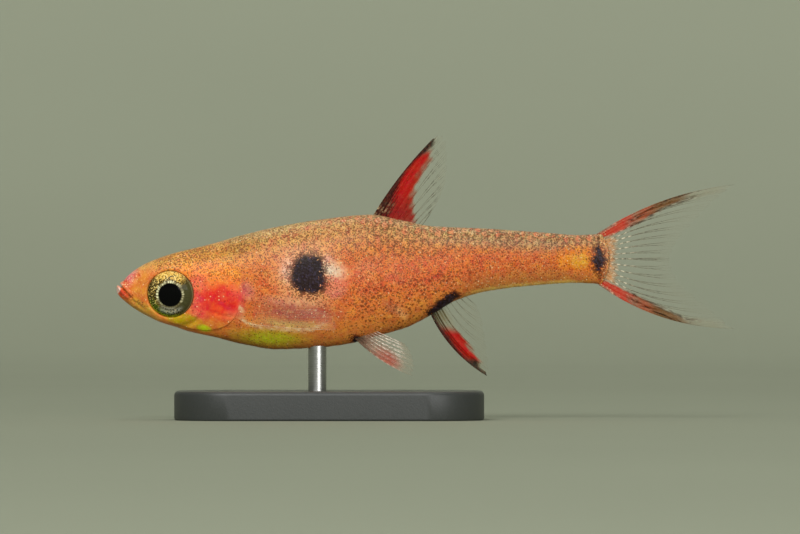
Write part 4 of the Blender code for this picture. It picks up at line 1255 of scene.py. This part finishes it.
def paint_caudal(upper):
    """Painter of one tail lobe: an orange-red outer band, dark dots along the edge and a clear middle."""
    line = CAUDAL_UPPER if upper else CAUDAL_LOWER
    rays = UPPER_LOBE_RAYS if upper else LOWER_LOBE_RAYS

    def paint(s, z, u, t, is_ray):
        coat = Coat(s, (160, 158, 134), 0.035)
        coat.lay(is_ray, (122, 114, 88), 0.07 + 0.15 * ease(1.0, 0.6, t))
        joint = joints(s, u * (rays - 1))
        reach = s - 20.3
        pale = is_ray * ease(0.35, 0.9, joint) * ease(0.0, 0.12, reach)
        pale = pale * ease(1.6, 0.7, reach + 0.3 * ripple(s, z, 0.3, 13))
        pale = pale * (0.7 + 0.3 * ripple(s, z, 0.2, 15))
        coat.lay(np.clip(pale, 0, 1), (255, 244, 214), 0.95)
        coat.lay(is_ray * joint * ease(0.9, 1.3, reach) * ease(2.6, 2.0, reach) * 0.7, (66, 58, 42), 0.5)

        edge = np.interp(s, *np.array(line).T)
        gap = (edge - z) if upper else (z - edge)
        fleshy = ease(20.85, 20.35, s + 0.14 * ripple(s, z, 0.3, 9))
        coat.lay(fleshy * (1 - pale) * ease(0.2, 0.5, gap), (230, 160, 96), 0.5)
        near = ease(22.1, 20.9, s + 0.2 * ripple(s, z, 0.4, 16))
        band = ease(0.37, 0.22, gap + 0.03 * ripple(s, z, 0.4, 14))
        band = band * ease(20.1, 21.0, s + 0.9 * ease(0.3, 0.0, np.abs(gap - 0.18)))
        bright = np.array(colours().fin_red) * 0.4 + np.array(tone(222, 78, 50)) * 0.6
        coat.lay_linear(band * near, bright, 0.7)
        brown = band * (1 - near) * ease(24.5, 23.0, s)
        coat.lay(brown, (128, 86, 40), 0.58)
        coat.lay(band * hump(s - 21.85, 0.36), (182, 76, 30), 0.5)
        tip = ease(23.0, 24.0, s) * ease(0.5, 0.2, gap) * (1 - brown)
        coat.lay(tip * ease(25.6, 24.6, s), (150, 146, 118), 0.2)
        rows = np.maximum(hump(gap - 0.05, 0.08), 0.9 * hump(gap - 0.31, 0.08))
        coat.lay(rows * joints(s, gap * 5) * ease(20.9, 21.4, s) * ease(24.4, 23.6, s), (34, 22, 12), 0.95)
        dark = 0.25 * fleshy * (1 - band) + 0.16 * band * (1 - near) * ease(24.2, 23.4, s)
        return coat.layers(dark, 0.8 * fleshy + 0.1 * band * near)

    return paint


def paint_pelvic(s, z, u, t, is_ray):
    """Clear web with white streaks on the rays, a reddish middle and a dark root."""
    coat = Coat(s, (176, 158, 130), 0.03)
    coat.lay(is_ray, (180, 164, 130), 0.07 + 0.12 * ease(1.0, 0.7, t))
    coat.lay(spot_at(s, z, (11.15, -2.85), (0.62, 0.32), -35, 0.6) * 0.9, (186, 70, 48), 0.4)
    inner = ease(0.7, 0.3, t) * ease(0.05, 0.2, t)
    coat.lay(inner * 0.5, (196, 132, 108), 0.14)
    white = is_ray * (0.35 + 0.65 * joints(s, u * (PELVIC_RAYS - 1) + t, 0.55)) * ease(0.18, 0.32, t)
    white = white * ease(0.95, 0.75, t) * (0.45 + 0.55 * ease(0.1, 0.5, u))
    coat.lay(white, (255, 246, 230), 0.95)
    root = ease(0.42, 0.15, t) * ease(0.7, 0.15, u)
    root = np.maximum(root, 0.8 * ease(0.55, 0.3, t) * ease(0.12, 0.03, u))
    coat.lay(root * 0.9, (30, 24, 14), 0.9)
    return coat.layers(0.15 * inner + 0.2 * root, 0.25 * inner)


def paint_pectoral(s, z, u, t, is_ray):
    """Glass-clear web with faint pale rays, the lowest one dotted with white."""
    coat = Coat(s, (220, 190, 180), 0.012)
    coat.lay(is_ray, (236, 206, 190), 0.03 + 0.07 * ease(0.4, 0.8, t))
    lowest = is_ray * ease(0.08, 0.02, u) * (0.16 + 0.84 * joints(s, u)) * ease(0.98, 0.7, t)
    coat.lay(lowest, (250, 222, 172), 0.75)
    ends = is_ray * joints(s, u * (PECTORAL_RAYS - 1)) * ease(0.7, 0.85, t) * ease(1.0, 0.9, t)
    coat.lay(ends * 0.4, (250, 240, 226), 0.4)
    return coat.layers(0 * s, 0.2 * is_ray)


def build_fins():
    """The dorsal, anal, tail, pelvic and pectoral fins."""
    web = fin_web()
    dorsal = blade_of(DORSAL_ROOT, DORSAL_MARGIN, (-0.3, 0))
    anal = blade_of(ANAL_ROOT, ANAL_MARGIN, (0.66, 0))
    upper = blade_of(UPPER_LOBE_ROOT, UPPER_LOBE_MARGIN, (-0.72, 0))
    lower = blade_of(LOWER_LOBE_ROOT, LOWER_LOBE_MARGIN, (0, 0.95))
    for name, blade, rays, paint, unbranched, slot, node in (
        ("dorsal_web", dorsal, DORSAL_RAYS, paint_dorsal, (0, 1), "red_fin", "dorsal_fin"),
        ("anal_web", anal, ANAL_RAYS, paint_anal, (0, 1), "red_fin", "anal_fin"),
        ("tail_upper_web", upper, UPPER_LOBE_RAYS, paint_caudal(True), (0,), "clear_fin", "caudal_fin_upper"),
        ("tail_lower_web", lower, LOWER_LOBE_RAYS, paint_caudal(False), (LOWER_LOBE_RAYS - 1,), "clear_fin",
         "caudal_fin_lower"),
    ):
        hand_over(build_fin(name, blade, rays, paint, web, unbranched=unbranched), slot, node)
    for word, side in (("left", -1), ("right", 1)):
        pelvic = blade_of(PELVIC_ROOT, PELVIC_MARGIN, (0.42, 0), side)
        piece = build_fin("pelvic_web_" + word, pelvic, PELVIC_RAYS, paint_pelvic, web,
                          rows=30, radius=0.026, unbranched=(0,))
        hand_over(piece, "clear_fin", "pelvic_fin_" + word)
        piece = build_fin("pectoral_web_" + word, pectoral_blade(side), PECTORAL_RAYS, paint_pectoral, web,
                          rows=30, radius=0.014, pleat=0.015)
        hand_over(piece, "clear_fin", "pectoral_fin_" + word)


# Stand and studio


def deselect_everything():
    """Leaves nothing selected, so that the next operator acts only on what it adds."""
    if bpy.context.object and bpy.context.object.mode != "OBJECT":
        bpy.ops.object.mode_set(mode="OBJECT")
    bpy.ops.object.select_all(action="DESELECT")


def shaped_primitive(name, material):
    """Names the object just added, gives it a finish and puts its place into its mesh."""
    made = bpy.context.active_object
    made.name = name
    made.data.name = name
    made.data.materials.clear()
    made.data.materials.append(material)
    bpy.ops.object.transform_apply(location=True, rotation=True, scale=True)
    return made


def bevel_where(elements, mode, chosen, width, segments):
    """Bevels the edges or faces of the active mesh for which chosen is true, and no others."""
    bpy.ops.object.mode_set(mode="EDIT")
    bpy.ops.mesh.select_mode(type=mode)
    bpy.ops.mesh.select_all(action="DESELECT")
    bpy.ops.object.mode_set(mode="OBJECT")
    for element in elements:
        element.select = chosen(element)
    bpy.ops.object.mode_set(mode="EDIT")
    bpy.ops.mesh.bevel(offset=width * MM, segments=segments, affect="EDGES")
    bpy.ops.object.mode_set(mode="OBJECT")


def build_base(material):
    """Low slab with round corners, a rounded top edge and a small chamfer at its foot."""
    length, width, height = (v * MM for v in BASE_SIZE)
    centre = ((BASE_CENTRE_S - TOTAL_LENGTH / 2) * MM, 0.0, height / 2)
    bpy.ops.mesh.primitive_cube_add(size=1.0, location=centre, scale=(length, width, height))
    base = shaped_primitive("display_base", material)
    mesh = base.data

    def upright(edge):
        a, b = (mesh.vertices[i].co for i in edge.vertices)
        return abs(a.x - b.x) < 1e-7 and abs(a.y - b.y) < 1e-7

    bevel_where(mesh.edges, "EDGE", upright, BASE_CORNER, BASE_CORNER_SEGMENTS)
    for way, bevel, segments in BASE_BEVELS:
        bevel_where(mesh.polygons, "FACE", lambda face, way=way: face.normal.z * way > 0.9, bevel, segments)
    bpy.ops.object.shade_smooth_by_angle(angle=SMOOTH_ANGLE)
    even = base.modifiers.new("even shading", "WEIGHTED_NORMAL")
    even.keep_sharp = True
    bpy.ops.object.modifier_apply(modifier=even.name)
    return base


def build_rod(material):
    """Steel rod from the base up to the belly."""
    foot, top = BASE_SIZE[2] - ROD_SINK, AXIS_HEIGHT + ROD_TOP
    x = (ROD_S - TOTAL_LENGTH / 2) * MM
    bpy.ops.mesh.primitive_cylinder_add(vertices=64, radius=ROD_RADIUS * MM, depth=(top - foot) * MM,
                                        location=(x, 0, (top + foot) / 2 * MM))
    rod = shaped_primitive("display_rod", material)
    bpy.ops.object.shade_smooth_by_angle(angle=SMOOTH_ANGLE)
    return rod


def build_floor():
    """Pale floor that curves up behind the model."""
    bpy.ops.mesh.primitive_grid_add(x_subdivisions=2, y_subdivisions=60, size=1.0)
    floor = bpy.context.active_object
    floor.name = "studio_floor"
    for vert in floor.data.vertices:
        vert.co.x *= FLOOR_SIZE
        vert.co.y = -FLOOR_SIZE / 2 + (vert.co.y + 0.5) * FLOOR_SIZE
        run = max(0.0, vert.co.y - FLOOR_FLAT_TO) / FLOOR_CURVE_RUN
        vert.co.z = FLOOR_CURVE_HEIGHT * run**2
    bpy.ops.object.shade_smooth()
    floor.data.materials.append(matt_floor())


def place_lights():
    """Four soft lights and a pale sky."""
    for name, place_at, turn, size, power in STUDIO_LIGHTS:
        bpy.ops.object.light_add(type="AREA", location=place_at, rotation=[math.radians(a) for a in turn])
        light = bpy.context.active_object
        light.name = name
        light.data.shape = "RECTANGLE"
        light.data.size, light.data.size_y = size
        light.data.energy = power
    world = bpy.data.worlds.new("studio air")
    world.use_nodes = True
    air = world.node_tree.nodes["Background"]
    air.inputs["Color"].default_value = (*tone(214, 218, 206), 1.0)
    air.inputs["Strength"].default_value = 0.27
    bpy.context.scene.world = world


def place_camera():
    """Level camera with a long lens, square to the fish's left side."""
    bpy.ops.object.camera_add(location=(CAMERA_X * MM, -CAMERA_DISTANCE, CAMERA_Z * MM),
                              rotation=(math.pi / 2, 0, 0))
    camera = bpy.context.active_object
    camera.data.sensor_width = SENSOR_WIDTH
    camera.data.lens = SENSOR_WIDTH * CAMERA_DISTANCE / (FRAME_WIDTH * MM)
    camera.data.clip_start = 0.01
    camera.data.clip_end = 10.0
    bpy.context.scene.camera = camera
    bpy.context.scene.view_settings.view_transform = "Standard"


# Settings, operators and panel


def colour_setting(name, description, shade):
    """Colour property with its default."""
    return bpy.props.FloatVectorProperty(name=name, description=description, default=tone(*shade),
                                         size=3, min=0, max=1, subtype="COLOR")


def size_setting(name, description, default, low, high):
    """Size property with its default and its limits."""
    return bpy.props.FloatProperty(name=name, description=description, default=default, min=low, max=high)


class RasboraColours(bpy.types.PropertyGroup):
    """Colours of the fish, its stand and the studio."""

    back: colour_setting("Back", "Colour of the back", (218, 170, 98))
    flank: colour_setting("Flank", "Colour of the flanks", (236, 116, 46))
    belly: colour_setting("Belly", "Colour of the belly", (196, 112, 44))
    gill_red: colour_setting("Gill cover red", "Red patch on the gill cover", (232, 40, 34))
    dark_dots: colour_setting("Dark dots", "Colour of the dark pigment dots", (50, 22, 10))
    brown_dots: colour_setting("Brown dots", "Colour of the palest pigment dots", (112, 42, 16))
    spot_black: colour_setting("Spots", "Colour of the large dark spots", (10, 8, 17))
    spot_grey: colour_setting("Spot sheen", "Grey-blue scales within the large dark spots", (46, 42, 62))
    warm_grain: colour_setting("Warm grains", "Colour of the pale warm grains of the skin", (255, 192, 126))
    red_grain: colour_setting("Red grains", "Colour of the red grains of the skin", (214, 92, 60))
    net: colour_setting("Scale net", "Colour of the net round the scales of the back", (104, 84, 52))
    core: colour_setting("Scale centres", "Colour of the middle of the scales of the back", (222, 112, 76))
    gold: colour_setting("Gold", "Colour of the bright specks", (252, 226, 172))
    fin_red: colour_setting("Fin red", "Red of the dorsal, anal and tail fins", (178, 10, 6))
    stand: colour_setting("Stand", "Colour of the stand's base", (44, 46, 44))
    floor: colour_setting("Floor", "Colour of the studio floor", (146, 151, 130))


class RasboraSizes(bpy.types.PropertyGroup):
    """Small sizes of the surface, in millimetres."""

    dot_spacing: size_setting("Dot spacing", "Distance between dark dots in millimetres", 0.064, 0.03, 0.5)
    grain_size: size_setting("Grain size", "Size of the skin's colour grains in millimetres", 0.07, 0.03, 0.5)
    scale_lift: size_setting("Scale lift", "Height of a scale's rear edge in millimetres", 0.022, 0.0, 0.2)


class RASBORA_OT_body(bpy.types.Operator):
    """Builds the skin and the scales over it"""

    bl_idname = "rasbora.body"
    bl_label = "Skin and Scales"

    def execute(self, context):
        material = living_skin()
        hand_over(build_skin(material), "skin", "head", "trunk", "tail_stalk")
        hand_over(build_scales(material), "skin")
        return {"FINISHED"}


class RASBORA_OT_eyes(bpy.types.Operator):
    """Builds both eyes"""

    bl_idname = "rasbora.eyes"
    bl_label = "Eyes"

    def execute(self, context):
        material = eye_glass()
        for word, side in (("left", -1), ("right", 1)):
            hand_over(build_eye("eyeball_" + word, side, material), "eye", "eye_" + word)
        return {"FINISHED"}


class RASBORA_OT_fins(bpy.types.Operator):
    """Builds all fins"""

    bl_idname = "rasbora.fins"
    bl_label = "Fins"

    def execute(self, context):
        build_fins()
        return {"FINISHED"}


class RASBORA_OT_stand(bpy.types.Operator):
    """Builds the display stand"""

    bl_idname = "rasbora.stand"
    bl_label = "Display Stand"

    def execute(self, context):
        deselect_everything()
        hand_over(build_base(satin_base()), "stand_base", "stand_base")
        deselect_everything()
        hand_over(build_rod(brushed_steel()), "stand_rod", "stand_rod")
        return {"FINISHED"}


class RASBORA_OT_studio(bpy.types.Operator):
    """Builds the floor, lights and camera"""

    bl_idname = "rasbora.studio"
    bl_label = "Studio"

    def execute(self, context):
        deselect_everything()
        build_floor()
        place_lights()
        place_camera()
        return {"FINISHED"}


class RASBORA_PT_panel(bpy.types.Panel):
    """Sidebar list of the settings and the steps"""

    bl_label = "Dwarf Rasbora"
    bl_idname = "RASBORA_PT_panel"
    bl_space_type = "VIEW_3D"
    bl_region_type = "UI"
    bl_category = "Rasbora"

    def draw(self, context):
        for settings in (context.scene.rasbora_colours, context.scene.rasbora_sizes):
            box = self.layout.box()
            for name in settings.__annotations__:
                box.prop(settings, name)
        for operator in STEPS:
            self.layout.operator(operator.bl_idname)


STEPS = (RASBORA_OT_body, RASBORA_OT_eyes, RASBORA_OT_fins, RASBORA_OT_stand, RASBORA_OT_studio)
CLASSES = (RasboraColours, RasboraSizes, *STEPS, RASBORA_PT_panel)


def register():
    """Adds the settings, the steps and the panel to Blender."""
    for each in CLASSES:
        bpy.utils.register_class(each)
    bpy.types.Scene.rasbora_colours = bpy.props.PointerProperty(type=RasboraColours)
    bpy.types.Scene.rasbora_sizes = bpy.props.PointerProperty(type=RasboraSizes)


def unregister():
    """Takes them out again."""
    del bpy.types.Scene.rasbora_sizes
    del bpy.types.Scene.rasbora_colours
    for each in reversed(CLASSES):
        bpy.utils.unregister_class(each)


def main():
    """Builds every piece in order."""
    register()
    bpy.ops.rasbora.body()
    bpy.ops.rasbora.eyes()
    bpy.ops.rasbora.fins()
    bpy.ops.rasbora.stand()
    bpy.ops.rasbora.studio()


if __name__ == "__main__":
    main()
